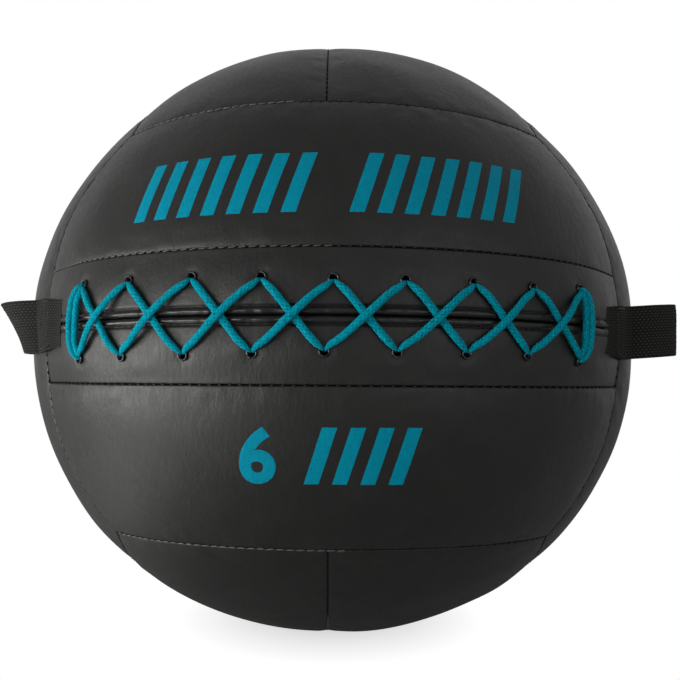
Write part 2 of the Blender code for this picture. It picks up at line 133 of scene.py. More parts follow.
class LacingSizes(bpy.types.PropertyGroup):
    """Sizes of the eyelets and of the lace."""

    eyelet_bore: length("Eyelet bore", "Open width of an eyelet", 0.0031)
    eyelet_flange: length("Eyelet flange", "Outer radius of the domed flange", 0.0024)
    row_height: length("Row height", "From the slit to a row of eyelets", 0.0153)
    end_margin: length("End margin", "From the last eyelet to the band's end", 0.0497)
    lower_shift: offset("Lower shift", "How far the lower row is moved along", -0.0035)
    topstitch_height: length("Topstitch height", "From the slit to its topstitching", 0.0038)
    lace_half_width: length("Lace half width", "Half the width of a loose strand", 0.00160)
    lace_half_height: length("Lace half height", "Half the thickness of a loose strand", 0.00128)
    braid_depth: length("Braid depth", "Height of the braid's bumps", 0.00013)
    bar_bow: length("Bar bow", "How far the end strands bow outwards", 0.0022)
    tail_length: length("Tail length", "Hidden end of the lace behind the band", 0.009)


class LoopSizes(bpy.types.PropertyGroup):
    """Sizes of the webbing loops."""

    web_width: length("Webbing width", "Width of the webbing", 0.0272)
    web_thickness: length("Webbing thickness", "Thickness of one layer", 0.0016)
    base_length: length("Base length", "Part that is sewn down on the ball", 0.0265)
    loop_length: length("Loop length", "From the fold line to the loop's end", 0.040)
    tack_length: length("Tack length", "Part beside the fold line where both layers are sewn", 0.008)
    eye_outward: length("Eye outward", "How far the outer layer stands off", 0.0045)
    eye_inward: length("Eye inward", "How far the inner layer stands off", 0.001)
    left_drop: offset("Left drop", "How far the left loop sits under the middle", -0.0006)
    right_drop: offset("Right drop", "How far the right loop sits under the middle", 0.0008)
    left_lift: turn("Left lift", "Angle of the left loop off the cover at its upper edge", 23)
    left_low_lift: turn("Left low lift", "Angle of the left loop at its lower edge", 1)
    right_lift: turn("Right lift", "Angle of the right loop off the cover", 33)
    left_tilt: turn("Left tilt", "How far the left loop rises outwards", -0.5)
    right_tilt: turn("Right tilt", "How far the right loop rises outwards", 4.5)
    left_skew: share("Left skew", "How much shorter the left loop is at its lower edge", 0.42)
    base_narrowing: share("Base narrowing", "How much narrower a base is at its sewn end", 0.16)
    yarn_pitch: length("Yarn pitch", "Length of one float of the weave", 0.0022)
    yarn_width: length("Yarn width", "Width of one column of the weave", 0.0014)
    yarn_depth: length("Yarn depth", "Height of the woven yarns", 0.00024)


class FinishColours(bpy.types.PropertyGroup):
    """Colours of the finishes, in linear light."""

    leather: colour("Leather", "Black synthetic leather", (0.0065, 0.0065, 0.0060))
    # A paler copy of the dark thread, used as a painted highlight on the lit part of the seams.
    thread: colour("Dark thread", "Thread of most seams", (0.004, 0.004, 0.004))
    thread_painted_highlight: colour("Pale thread", "Thread of the paler seams", (0.085, 0.085, 0.08))
    lace: colour("Lace", "Turquoise yarn", (0.0005, 0.245, 0.325))
    ink: colour("Ink", "Turquoise print", (0.0, 0.235, 0.345))
    webbing: colour("Webbing", "Black webbing", (0.019, 0.019, 0.0178))
    metal: colour("Eyelet metal", "Gunmetal of the eyelets", (0.055, 0.055, 0.060))
    filling: colour("Filling", "Packed textile fibre", (0.36, 0.34, 0.31))
    canvas: colour("Canvas", "Cloth of the weight bag", (0.25, 0.22, 0.16))


class StageSizes(bpy.types.PropertyGroup):
    """Camera and light."""

    camera_distance: length("Camera distance", "From the camera to the ball's middle", 0.4879)
    camera_lift: turn("Camera lift", "Camera above the ball's middle, as an angle", -3.34)
    camera_roll: turn("Camera roll", "How far the camera is rolled", 0.462)
    focal_pixels: FloatProperty(name="Focal length in pixels", default=779.5,
                                description="Focal length in pixels of the picture")
    window_power: FloatProperty(name="Window power", description="Soft light at the left",
                                default=9.5, unit="POWER")
    fill_power: FloatProperty(name="Fill power", description="Soft light at the right",
                              default=2.7, unit="POWER")
    low_power: FloatProperty(name="Low power", description="Light on the floor at the left",
                             default=0.62, unit="POWER")
    room_level: FloatProperty(name="Room level", default=0.36,
                              description="Even light from all around")
    floor_side: length("Floor side", "Side of the square floor", 8.0)
    noise_seed: IntProperty(name="Seed", description="Seed of the small irregularities", default=7)


STRAP_INSET = 0.004
STRAP_REACH = 0.044
CORNER_REACH = 0.062
LIP_ROLL = 0.0011
LIP_DROP = 0.0019
LIP_SWELL = 0.00050
SWELL_PLACE = 0.0018
SWELL_REACH = 0.0011
GROOVE_DEPTH = 0.00075
GROOVE_PLACE = 0.0038
GROOVE_REACH = 0.00055


def hump(distance, place, reach):
    """A soft hump of unit height round a place, which dies away over a reach."""
    return np.exp(-((distance - place) / reach) ** 2)


class Face:
    """One face of the cover: long along one axis, with straight seams across another."""

    def __init__(self, ball, along, across, outward, end):
        self.ball = ball
        self.along = np.array(along, float)
        self.across = np.array(across, float)
        self.outward = np.array(outward, float)
        self.end = end + ball.seam_gap / 2

    def points(self, shares, heights, radii):
        """Points at a share of the length and a height across, moved straight out to a radius."""
        size = self.ball.seam_radius
        reach = np.sqrt(size ** 2 - heights ** 2)
        angle = shares * np.arccos(self.end / reach)
        flat = np.sin(angle)[..., None] * self.along + np.cos(angle)[..., None] * self.outward
        round_points = flat * reach[..., None] + heights[..., None] * self.across
        return self.ball.settle(round_points * (radii / size)[..., None])

    def half_arc(self, heights):
        """Half the length of the face along a line at a height across, in metres."""
        reach = np.sqrt(self.ball.seam_radius ** 2 - heights ** 2)
        return np.arccos(self.end / reach) * reach


class Ball:
    """The ball that the cover is worked out on, from the cover's sizes."""

    def __init__(self, context):
        sizes = context.scene.wall_ball_cover
        self.sizes = sizes
        self.radius = sizes.ball_radius
        self.seam_gap = sizes.seam_gap
        half_height = (sizes.ball_height + sizes.rest_depth) / 2
        self.settle_ratio = half_height / self.radius
        self.centre_height = sizes.ball_height - half_height
        self.seam_radius = self.radius - sizes.panel_crown
        self.half_height = self.seam_radius * sizes.front_height
        self.seam_depth = self.seam_radius * sizes.front_depth
        self.side_offset = math.sqrt(self.seam_radius ** 2 - self.half_height ** 2
                                     - self.seam_depth ** 2)
        self.band_half_length = math.acos(self.seam_depth / self.seam_radius) * self.radius
        self.straps = [self.on_band(way * (self.band_half_length - STRAP_INSET), 0.0, 0.0)
                       for way in (-1, 1)]
        side, depth, high = self.side_offset, self.seam_depth, self.half_height
        corners = self.settle([(-side, -depth, high), (side, -depth, high),
                               (-side, -depth, -high), (side, -depth, -high)])
        self.full_places = list(zip(corners, sizes.fullness))
        x, y, z = np.eye(3)
        self.front = Face(self, x, z, -y, self.seam_depth)
        self.rear = Face(self, x, z, y, self.seam_depth)
        self.top = Face(self, y, x, z, self.half_height)
        self.bottom = Face(self, y, x, -z, self.half_height)
        self.left = Face(self, z, y, -x, self.side_offset)
        self.right = Face(self, z, y, x, self.side_offset)

    def panels(self):
        """Name, face and the two seams of each padded panel."""
        band, high = self.sizes.band_half_height, self.half_height
        side, depth = self.side_offset, self.seam_depth
        top, bottom = self.sizes.top_shift, self.sizes.bottom_shift
        return [("front_upper_panel", self.front, band, high),
                ("front_lower_panel", self.front, -high, -band),
                ("rear_upper_panel", self.rear, 0, high),
                ("rear_lower_panel", self.rear, -high, 0),
                ("top_left_panel", self.top, -side, top),
                ("top_right_panel", self.top, top, side),
                ("bottom_left_panel", self.bottom, -side, bottom),
                ("bottom_right_panel", self.bottom, bottom, side),
                ("left_front_panel", self.left, -depth, 0),
                ("left_rear_panel", self.left, 0, depth),
                ("right_front_panel", self.right, -depth, 0),
                ("right_rear_panel", self.right, 0, depth)]

    def settle(self, points):
        """From the round ball about its centre to the standing ball."""
        points = np.array(points, float)
        points[..., 2] = points[..., 2] * self.settle_ratio + self.centre_height
        return points

    def on_band(self, arcs, heights, rises):
        """Points by arc from the middle, height over the slit and rise over the seams' radius."""
        angle = np.asarray(arcs, float) / self.radius
        lift = np.arcsin(np.asarray(heights, float) / self.radius)
        way = np.stack([np.cos(lift) * np.sin(angle), -np.cos(lift) * np.cos(angle),
                        np.sin(lift) + 0 * angle], axis=-1)
        return self.settle(way * (self.seam_radius + np.asarray(rises, float))[..., None])

    def outward(self, points):
        """Unit directions out of the standing ball."""
        way = np.array(points, float)
        way[..., 2] = (way[..., 2] - self.centre_height) / self.settle_ratio ** 2
        return way / np.linalg.norm(way, axis=-1, keepdims=True)

    def loosen(self, points):
        """From the standing ball back to the round ball about its centre."""
        points = np.array(points, float)
        points[..., 2] = (points[..., 2] - self.centre_height) / self.settle_ratio
        return points

    def band_places(self, points):
        """Arc and height of points in front, as on_band() takes them."""
        points = self.loosen(points)
        way = points / np.linalg.norm(points, axis=-1, keepdims=True)
        arcs = np.arctan2(way[..., 0], -way[..., 1]) * self.radius
        return arcs, way[..., 2] * self.radius

    def seam_lift(self, points):
        """How far the seams stand over their radius, less under the straps."""
        lift = np.full(points.shape[:-1], self.sizes.seam_lift)
        for strap in self.straps:
            away = np.linalg.norm(points - strap, axis=-1)
            lift = lift * (1 - np.exp(-(away / STRAP_REACH) ** 4))
        return lift

    def fullness(self, points):
        """How much fuller or slacker than round the ball is by its front corners."""
        more = np.zeros(points.shape[:-1])
        for corner, amount in self.full_places:
            away = np.linalg.norm(points - corner, axis=-1)
            more = more + amount * hump(away, 0, CORNER_REACH)
        return more

    def band_ease(self, arcs):
        """How the laced band's shape fades out at its ends."""
        return 1 - np.minimum(1, np.abs(arcs) / self.band_half_length) ** 6

    def band_rise(self, arcs, heights):
        """The laced band's surface: rolled lips at the slit, a sewn groove and a low crown."""
        sizes = self.sizes
        away = np.abs(heights)
        part = np.minimum(1, away / sizes.band_half_height)
        body = sizes.band_crown * (0.8 + 0.24 * np.sin(math.pi * np.minimum(1, part * 1.08)))
        kept = self.band_ease(arcs) * (1 - part ** 7)
        place = self.on_band(arcs, heights, 0.0)
        border = self.seam_lift(place) * (1 - kept) + self.fullness(place)
        swell = LIP_SWELL * hump(away, SWELL_PLACE, SWELL_REACH)
        groove = GROOVE_DEPTH * hump(away, GROOVE_PLACE, GROOVE_REACH)
        lip = LIP_DROP * (1 - np.sqrt(1 - (1 - np.minimum(1, away / LIP_ROLL)) ** 2))
        return body * kept + border + (swell - groove) * self.band_ease(arcs) - lip


EYELET_SHARES = (-1, -0.745, -0.48, -0.235, 0, 0.235, 0.475, 0.72, 0.98)
EYELET_HEIGHTS = (1.15, 1.11, 1.1, 1.05, 1, 1, 1, 1, 1.13)


def eyelet_places(ball, lacing, sign):
    """Arc and height of the eyelets of the upper (1) or lower (-1) row, from left to right."""
    half_row = ball.band_half_length - lacing.end_margin
    places = []
    for part, high in zip(EYELET_SHARES, EYELET_HEIGHTS):
        shift = lacing.lower_shift if sign < 0 else 0
        if part in (EYELET_SHARES[0], EYELET_SHARES[-1]):
            shift = shift / 2
        places.append((part * half_row + shift, sign * lacing.row_height * high))
    return places


def waves(count, shortest, longest, seed, dimensions=3):
    """Seeded plane waves: rows of wave vector and phase."""
    random = np.random.default_rng(seed)
    ways = random.normal(size=(count, dimensions))
    ways /= np.linalg.norm(ways, axis=1, keepdims=True)
    lengths = random.uniform(shortest, longest, size=(count, 1))
    return np.hstack([ways * 2 * math.pi / lengths, random.uniform(0, 2 * math.pi, (count, 1))])


def wave_sum(points, table):
    """The sum of plane waves at points, of about unit size."""
    total = np.zeros(points.shape[:-1])
    for row in table:
        total += np.sin(points @ row[:-1] + row[-1])
    return total / math.sqrt(len(table))


def new_object(name, mesh):
    """An object at the origin that holds a mesh."""
    obj = bpy.data.objects.new(name, mesh)
    bpy.context.scene.collection.objects.link(obj)
    return obj


def mesh_object(name, vertices, faces, look, uv=None, attributes=None):
    """A piece from points and faces, with its UV map and point attributes."""
    mesh = bpy.data.meshes.new(name)
    mesh.from_pydata([tuple(v) for v in np.asarray(vertices, float)], [],
                     [tuple(int(i) for i in f) for f in faces])
    if uv is not None:
        layer = mesh.uv_layers.new(name="surface")
        corners = np.empty(len(mesh.loops), np.int32)
        mesh.loops.foreach_get("vertex_index", corners)
        layer.data.foreach_set("uv", np.asarray(uv, np.float32)[corners].ravel())
    for key, values in (attributes or {}).items():
        attribute = mesh.attributes.new(key, "FLOAT", "POINT")
        attribute.data.foreach_set("value", np.asarray(values, np.float32).ravel())
    mesh.shade_smooth()
    mesh.materials.append(look)
    mesh.validate()
    return new_object(name, mesh)


def face_outwards(piece):
    """Turns the faces of a closed piece outwards."""
    turned = bmesh.new()
    turned.from_mesh(piece.data)
    bmesh.ops.recalc_face_normals(turned, faces=turned.faces[:])
    turned.to_mesh(piece.data)
    turned.free()


def skin_map(arcs, heights):
    """The UV map of a skin's outer and inner side, by arc and height."""
    plane = np.stack([arcs, heights], -1).reshape(-1, 2)
    return np.concatenate([plane, plane])


def signed_volume(vertices, faces):
    """The volume inside a closed skin, negative where its faces point inwards."""
    corners = vertices[np.asarray(faces)]
    a, b, c, d = (corners[:, k] for k in range(4))
    return (np.einsum("ij,ij->", a, np.cross(b, c)) + np.einsum("ij,ij->", a, np.cross(c, d))) / 6


def skin_between(outer, inner, keep=None):
    """Points and faces of a closed skin between two grids, with holes where keep is False."""
    rows, columns = outer.shape[:2]
    if keep is None:
        keep = np.ones((rows - 1, columns - 1), bool)
    index = np.arange(rows * columns).reshape(rows, columns)
    below = index + rows * columns
    i, j = np.nonzero(keep)
    top = np.stack([index[i, j], index[i + 1, j], index[i + 1, j + 1], index[i, j + 1]], 1)
    bottom = np.stack([below[i, j], below[i, j + 1], below[i + 1, j + 1], below[i + 1, j]], 1)
    walls = []
    padded = np.pad(keep, 1)
    for di, dj, first, second in ((-1, 0, (0, 1), (0, 0)), (1, 0, (1, 0), (1, 1)),
                                  (0, -1, (0, 0), (1, 0)), (0, 1, (1, 1), (0, 1))):
        edge = keep & ~padded[1 + di:rows + di, 1 + dj:columns + dj]
        i, j = np.nonzero(edge)
        a = (i + first[0], j + first[1])
        b = (i + second[0], j + second[1])
        walls.append(np.stack([index[b], index[a], below[a], below[b]], 1))
    faces = np.vstack([top, bottom, *walls])
    vertices = np.concatenate([outer.reshape(-1, 3), inner.reshape(-1, 3)])
    if signed_volume(vertices, faces) < 0:
        faces = faces[:, ::-1]
    return vertices, faces


def drop_unused(vertices, faces, *tables):
    """Leaves out the points that no face uses."""
    used, packed = np.unique(faces, return_inverse=True)
    return (vertices[used], packed.reshape(faces.shape), *[table[used] for table in tables])


def edge_steps(half, roll, pitch):
    """Places from -half to half, close together on the rolled edge at each end."""
    bend = [roll * (1 - math.cos(math.radians(a))) for a in (0, 20, 38, 55, 72, 90)]
    edge = [-half + d for d in bend]
    count = max(4, round((2 * (half - roll)) / pitch))
    inside = np.linspace(-half + roll, half - roll, count + 1)[1:-1]
    return np.concatenate([edge, inside, [-e for e in reversed(edge)]])


def edge_roll(distance, roll, depth):
    """How far a panel's edge turns in at a distance from its seam."""
    near = 1 - np.minimum(1, distance / roll)
    return depth * (1 - np.sqrt(np.maximum(0, 1 - near ** 2)))


def smooth_weights(fine, coarse):
    """The weights that carry values on even coarse places to fine ones, smoothly."""
    count = len(coarse)
    place = (np.asarray(fine) - coarse[0]) / (coarse[-1] - coarse[0]) * (count - 1)
    first = np.clip(np.floor(place).astype(int), 0, count - 2)
    t = place - first
    parts = (-0.5 * t + t ** 2 - 0.5 * t ** 3, 1 - 2.5 * t ** 2 + 1.5 * t ** 3,
             0.5 * t + 2 * t ** 2 - 1.5 * t ** 3, -0.5 * t ** 2 + 0.5 * t ** 3)
    weights = np.zeros((len(place), count))
    for k, part in enumerate(parts):
        column = np.clip(first + k - 1, 0, count - 1)
        np.add.at(weights, (np.arange(len(place)), column), part)
    return weights


COARSE_ALONG = np.linspace(-1, 1, 65)
COARSE_ACROSS = np.linspace(-1, 1, 19)
PRESSING_FRAMES = 20


def pressed_panels(ball):
    """How far the filling presses each panel out between its seams, from a cloth simulation."""
    sizes = ball.sizes
    limit = sizes.press_limit
    named = ball.panels()
    still = {name: np.zeros((len(COARSE_ALONG), len(COARSE_ACROSS))) for name, *_ in named}
    points, faces, pins, start = [], [], [], 0
    for name, face, low, high in named:
        u, v = np.meshgrid(COARSE_ALONG, COARSE_ACROSS, indexing="ij")
        rise = sizes.panel_crown * (1 - np.abs(u) ** 4) * (1 - np.abs(v) ** 4)
        heights = (low + high) / 2 + (high - low) / 2 * v
        grid = face.points(u, heights, ball.seam_radius + rise)
        index = np.arange(u.size).reshape(u.shape) + start
        quads = np.stack([index[:-1, :-1], index[1:, :-1], index[1:, 1:], index[:-1, 1:]], -1)
        quads = quads.reshape(-1, 4)
        normal = np.cross(grid[1, 0] - grid[0, 0], grid[0, 1] - grid[0, 0])
        if normal @ face.outward < 0:
            quads = quads[:, ::-1]
        points.append(grid.reshape(-1, 3))
        faces.append(quads)
        border = (np.abs(u) > 0.999) | (np.abs(v) > 0.999)
        pins.append(index[border])
        start += u.size
    points, faces = np.concatenate(points), np.concatenate(faces)
    mesh = bpy.data.meshes.new("pressing")
    mesh.from_pydata([tuple(p) for p in points], [], [tuple(int(i) for i in f) for f in faces])
    cloth_object = new_object("pressing", mesh)
    group = cloth_object.vertex_groups.new(name="seams")
    group.add([int(i) for i in np.concatenate(pins)], 1.0, "REPLACE")
    cloth = cloth_object.modifiers.new("pressing", "CLOTH")
    settings = cloth.settings
    settings.quality = 6
    settings.mass = 0.4
    settings.tension_stiffness = 30
    settings.compression_stiffness = 30
    settings.shear_stiffness = 15
    settings.bending_stiffness = 12
    settings.tension_damping = 15
    settings.compression_damping = 15
    settings.shear_damping = 15
    settings.air_damping = 3
    settings.vertex_group_mass = "seams"
    settings.use_pressure = True
    settings.uniform_pressure_force = 4
    settings.shrink_min = -0.0015
    settings.effector_weights.gravity = 0
    cloth.collision_settings.use_collision = False
    scene = bpy.context.scene
    for number in range(1, PRESSING_FRAMES + 1):
        scene.frame_set(number)
    bpy.context.view_layer.update()
    evaluated = cloth_object.evaluated_get(bpy.context.evaluated_depsgraph_get())
    moved = np.empty(len(points) * 3)
    evaluated.data.vertices.foreach_get("co", moved)
    moved = moved.reshape(-1, 3)
    bpy.data.objects.remove(cloth_object, do_unlink=True)
    bpy.data.meshes.remove(mesh)
    scene.frame_set(1)
    out = np.einsum("ij,ij->i", moved - points, ball.outward(points))
    print("pressed out by %.2f to %.2f mm" % (out.min() / MM, out.max() / MM))
    out = np.tanh(out / limit) * limit
    for number, name in enumerate(still):
        size = still[name].size
        still[name] = out[number * size:(number + 1) * size].reshape(still[name].shape)
    return still


PANEL_STEP = 0.0019
INLAND_REACH = 0.012
PUCKER_PLACE = 0.004
PUCKER_REACH = 0.0045
SLOW_WAVES = (26, 0.028, 0.075)
SHORT_WAVES = (20, 0.008, 0.019)
INNER_FLAT = 0.0012


def panel_mesh(ball, name, face, low, high, press, look, seed):
    """A padded panel with rolled edges between its seams, crowned and a little uneven."""
    sizes = ball.sizes
    roll, gap = sizes.seam_roll, sizes.seam_gap / 2
    half, middle = (high - low) / 2 - gap, (low + high) / 2
    across = edge_steps(half, roll, PANEL_STEP)
    mean_arc = float(face.half_arc(np.array(middle)))
    along = edge_steps(mean_arc, roll, PANEL_STEP) / mean_arc
    u, heights = np.meshgrid(along, across + middle, indexing="ij")
    v = (heights - middle) / half
    arcs = u * face.half_arc(heights)
    to_end = face.half_arc(heights) * (1 - np.abs(u))
    to_side = half * (1 - np.abs(v))
    to_seam = np.minimum(to_end, to_side)
    base = face.points(u, heights, np.full(u.shape, ball.seam_radius))
    crowned = (1 - np.abs(u) ** 4) * (1 - np.abs(v) ** 4)
    rise = sizes.panel_crown * crowned + ball.seam_lift(base) * (1 - crowned)
    rise += ball.fullness(base)
    slow = wave_sum(base, waves(*SLOW_WAVES, seed))
    rise += sizes.undulation * slow * (1 - hump(to_seam, 0, INLAND_REACH))
    short = wave_sum(np.stack([arcs, heights], -1), waves(*SHORT_WAVES, seed + 40, 2))
    rise += sizes.pucker * short * hump(to_seam, PUCKER_PLACE, PUCKER_REACH)
    pushed = smooth_weights(along, COARSE_ALONG) @ press
    pushed = pushed @ smooth_weights(across / half, COARSE_ACROSS).T
    rise += pushed
    end_roll, side_roll = edge_roll(to_end, roll, 1), edge_roll(to_side, roll, 1)
    rise -= sizes.seam_depth * (end_roll + side_roll - end_roll * side_roll)
    outer = face.points(u, heights, ball.seam_radius + rise)
    inner = face.points(u, heights, np.full(u.shape, ball.seam_radius - sizes.panel_thickness))
    outer[..., 2] = np.maximum(outer[..., 2], 0)
    inner[..., 2] = np.maximum(inner[..., 2], INNER_FLAT)
    vertices, faces = skin_between(outer, inner)
    return mesh_object(name, vertices, faces, look, skin_map(arcs, heights))


LIP_LINES = (0.0013, 0.0016, 0.0019, 0.0022, 0.0026, 0.0030, 0.0033, 0.00355, 0.0038, 0.00405,
             0.0043, 0.0047, 0.0052, 0.0058)
BODY_START = 0.0065
BAND_STEP = 0.00085
END_FADE = 0.003
BORDER_FADE = 0.006
BAND_WAVES = (20, 0.014, 0.036)
BAND_WAVE_HEIGHT = 0.00016
LIP_REACH = 0.0045
RIPPLE_WAVES = (16, 0.007, 0.026)
RIPPLE_HEIGHT = 0.00030
CREASE_WAVES = (16, 0.0032, 0.0075)
CREASE_HEIGHT = 0.00010
DIMPLE_DEPTH = 0.00035
DIMPLE_START = 0.0026
DIMPLE_REACH = 0.0018
PULL_DEPTH = 0.00010
PULL_WIDTH = 0.0030
PULL_PLACE = 0.0095
PULL_REACH = 0.0035
HOLE_MARGIN = 0.0002
LEAST_LEATHER = 0.0004
BAND_END_SHARE = 0.7


def band_mesh(ball, lacing, name, sign, look, seed):
    """The half of the laced band over or under the slit, with its rolled lip and eyelet holes."""
    sizes = ball.sizes
    roll = sizes.seam_roll
    low, high = sizes.seam_gap / 2, sizes.band_half_height - sizes.seam_gap / 2
    lip = [low + LIP_ROLL * (1 - math.cos(math.radians(a))) for a in (0, 16, 32, 48, 64, 80)]
    inside = np.linspace(BODY_START, high - roll, 28)
    edge = [high - roll * (1 - math.cos(math.radians(a))) for a in (72, 55, 38, 20, 0)]
    away = np.array([*lip, *LIP_LINES, *inside, *edge])
    half = float(ball.front.half_arc(np.array(0.0)))
    along = edge_steps(half, roll, BAND_STEP) / half
    u, away = np.meshgrid(along, away, indexing="ij")
    flat = ball.front.points(u, sign * away, np.full(u.shape, ball.seam_radius))
    arcs, heights = ball.band_places(flat)
    to_end = (1 - np.abs(u)) * half
    rise = ball.band_rise(arcs, away)
    kept = 1 - hump(to_end, 0, END_FADE)
    soft = wave_sum(np.stack([arcs, heights], -1), waves(*BAND_WAVES, seed, 2))
    rise += BAND_WAVE_HEIGHT * soft * (1 - hump(high - away, 0, BORDER_FADE)) * kept
    ripple = wave_sum(arcs[..., None], waves(*RIPPLE_WAVES, seed + 9, 1))
    creases = wave_sum(arcs[..., None], waves(*CREASE_WAVES, seed + 10, 1))
    rise += (RIPPLE_HEIGHT * ripple + CREASE_HEIGHT * creases) * hump(away, 0, LIP_REACH) * kept
    keep = np.ones((u.shape[0] - 1, u.shape[1] - 1), bool)
    hole = lacing.eyelet_bore / 2 + HOLE_MARGIN
    cell_arc = (arcs[:-1, :-1] + arcs[1:, 1:]) / 2
    cell_height = (heights[:-1, :-1] + heights[1:, 1:]) / 2
    for arc, height in eyelet_places(ball, lacing, sign):
        far = np.hypot(arcs - arc, heights - height)
        rise -= DIMPLE_DEPTH * hump(np.maximum(0, far - DIMPLE_START), 0, DIMPLE_REACH)
        rise -= PULL_DEPTH * hump(arcs, arc, PULL_WIDTH) * hump(away, PULL_PLACE, PULL_REACH)
        keep &= np.hypot(cell_arc - arc, cell_height - height) > hole
    rise -= edge_roll(high - away, roll, sizes.seam_depth)
    rise -= edge_roll(to_end, roll, sizes.seam_depth * BAND_END_SHARE)
    outer = ball.front.points(u, sign * away, ball.seam_radius + rise)
    thick = np.minimum(rise - LEAST_LEATHER, -sizes.band_thickness)
    inner = ball.front.points(u, sign * away, ball.seam_radius + thick)
    vertices, faces = skin_between(outer, inner, keep)
    vertices, faces, uv = drop_unused(vertices, faces, skin_map(arcs, heights))
    return mesh_object(name, vertices, faces, look, uv, {"to_slit": np.abs(uv[:, 1])})


LINE_POINTS = 4001


def seam_lines(ball):
    """The seams: points along each, the share whose stitches are drawn paler as a painted highlight
    of the lit side, and the thread's fineness.
    """
    sizes = ball.sizes
    band = sizes.band_half_height
    high, side, depth = ball.half_height, ball.side_offset, ball.seam_depth
    lines = []

    def line(face, height, highlight_until=0.0, fineness=1.0):
        shares, heights = np.linspace(-1, 1, LINE_POINTS), np.full(LINE_POINTS, float(height))
        points = face.points(shares, heights, np.full(LINE_POINTS, ball.seam_radius))
        lift = ball.seam_lift(points) + ball.fullness(points)
        lines.append((face.points(shares, heights, ball.seam_radius + lift), highlight_until,
                      fineness))

    # Up to these shares from the left, the stitches get the paler thread: a painted highlight where
    # the light falls.
    line(ball.front, high, 0.43)
    line(ball.front, -high, 0.52)
    line(ball.front, band, 0.5, 0.75)
    line(ball.front, -band, 0.0, 0.75)
    for height in (high, -high, 0):
        line(ball.rear, height)
    for face, middle in ((ball.top, sizes.top_shift), (ball.bottom, sizes.bottom_shift)):
        line(face, middle, 0.0, 0.7)
        for height in (side, -side):
            line(face, height)
    for face in (ball.left, ball.right):
        for height in (0, depth, -depth):
            line(face, height)
    return lines


def stitch_template():
    """One stitch, modelled once: a slim rounded bar along X, as points and faces."""
    bpy.ops.object.select_all(action="DESELECT")
    bpy.ops.mesh.primitive_uv_sphere_add(segments=7, ring_count=6, radius=0.5,
                                         rotation=(0, math.pi / 2, 0))
    obj = bpy.context.object
    bpy.ops.object.transform_apply(location=True, rotation=True, scale=True)
    bpy.ops.object.mode_set(mode="EDIT")
    bpy.ops.mesh.select_all(action="SELECT")
    bpy.ops.transform.resize(value=(1, 1, 0.8), center_override=(0, 0, 0))
    bpy.ops.object.mode_set(mode="OBJECT")
    vertices = np.array([v.co for v in obj.data.vertices], float)
    vertices[:, 0] = np.sign(vertices[:, 0]) * np.abs(vertices[:, 0] * 2) ** 0.6 / 2
    faces = [tuple(p.vertices) for p in obj.data.polygons]
    bpy.data.objects.remove(obj, do_unlink=True)
    return vertices, faces


class Sewing:
    """Gathers the stitches of one thread and makes them one piece."""

    def __init__(self, template, seed):
        self.points, self.faces = template
        self.vertices, self.rows, self.lengths = [], [], []
        self.random = np.random.default_rng(seed)

    def stitch(self, place, along, out, length, radius, slant=0.0):
        """One stitch at a place, along a direction and turned by a slant about the way out."""
        out = out / np.linalg.norm(out)
        along = along - out * (along @ out)
        along /= np.linalg.norm(along)
        side = np.cross(out, along)
        slant = slant + self.random.normal(0, 0.05)
        way = along * math.cos(slant) + side * math.sin(slant)
        side = np.cross(out, way)
        length = length * (1 + self.random.normal(0, 0.05))
        start = self.lengths[-1] if self.lengths else 0
        shape = (self.points[:, :1] * length * way + self.points[:, 1:2] * 2 * radius * side
                 + self.points[:, 2:] * 2 * radius * out)
        self.vertices.append(place + shape)
        self.rows.extend(tuple(i + start for i in face) for face in self.faces)
        self.lengths.append(start + len(shape))

    def make(self, name, look):
        """The thread's piece."""
        points = np.concatenate(self.vertices)
        uv = np.tile(self.points[:, :2], (len(self.vertices), 1))
        return mesh_object(name, points, self.rows, look, uv)


def even_places(points, pitch):
    """Indices of points at an even pitch along a line, centred on it."""
    steps = np.linalg.norm(np.diff(points, axis=0), axis=1)
    along = np.concatenate([[0], np.cumsum(steps)])
    count = int((along[-1] - pitch * 0.8) / pitch) + 1
    first = (along[-1] - (count - 1) * pitch) / 2
    return np.searchsorted(along, first + pitch * np.arange(count)), along / along[-1]


FLOOR_GAP = 0.0006
SEAM_SLANT = 0.12
HIGHLIGHT_STITCH_LIFT = 0.00005
DARK_LIFT = 0.00004
DARK_LENGTH = 0.42
DARK_FINENESS = 1.1


def sew_seams(ball, looks):
    """All the seams' stitches, in dark thread and in a paler copy of it that is a painted highlight
    on the lit side of the seams.
    """
    sizes = ball.sizes
    template = stitch_template()
    dark, pale = Sewing(template, 21), Sewing(template, 22)
    for points, highlight_until, fineness in seam_lines(ball):
        places, shares = even_places(points, sizes.stitch_pitch)
        out = ball.outward(points)
        radius = sizes.thread_radius * fineness
        for k in places:
            k = min(max(int(k), 1), len(points) - 2)
            if points[k][2] < FLOOR_GAP:
                continue
            along = points[k + 1] - points[k - 1]
            # Stitches on the lit part get the paler thread, a painted highlight, and are drawn
            # longer than the dark ones.
            if shares[k] < highlight_until:
                pale.stitch(points[k] + out[k] * HIGHLIGHT_STITCH_LIFT, along, out[k], sizes.stitch_length,
                            radius, SEAM_SLANT)
            else:
                dark.stitch(points[k] + out[k] * DARK_LIFT, along, out[k],
                            sizes.stitch_length * DARK_LENGTH, radius * DARK_FINENESS,
                            SEAM_SLANT)
    return [dark.make("seam_thread_dark", looks["thread"]),
            pale.make("seam_thread_painted_highlight", looks["thread_painted_highlight"])]


TOPSTITCH_MARGIN = 0.002
TOPSTITCH_PITCH = 0.0041
TOPSTITCH_LENGTH = 0.0029
TOPSTITCH_LIFT = 0.45
TOPSTITCH_FINENESS = 0.8
TOPSTITCH_SLANT = 0.03


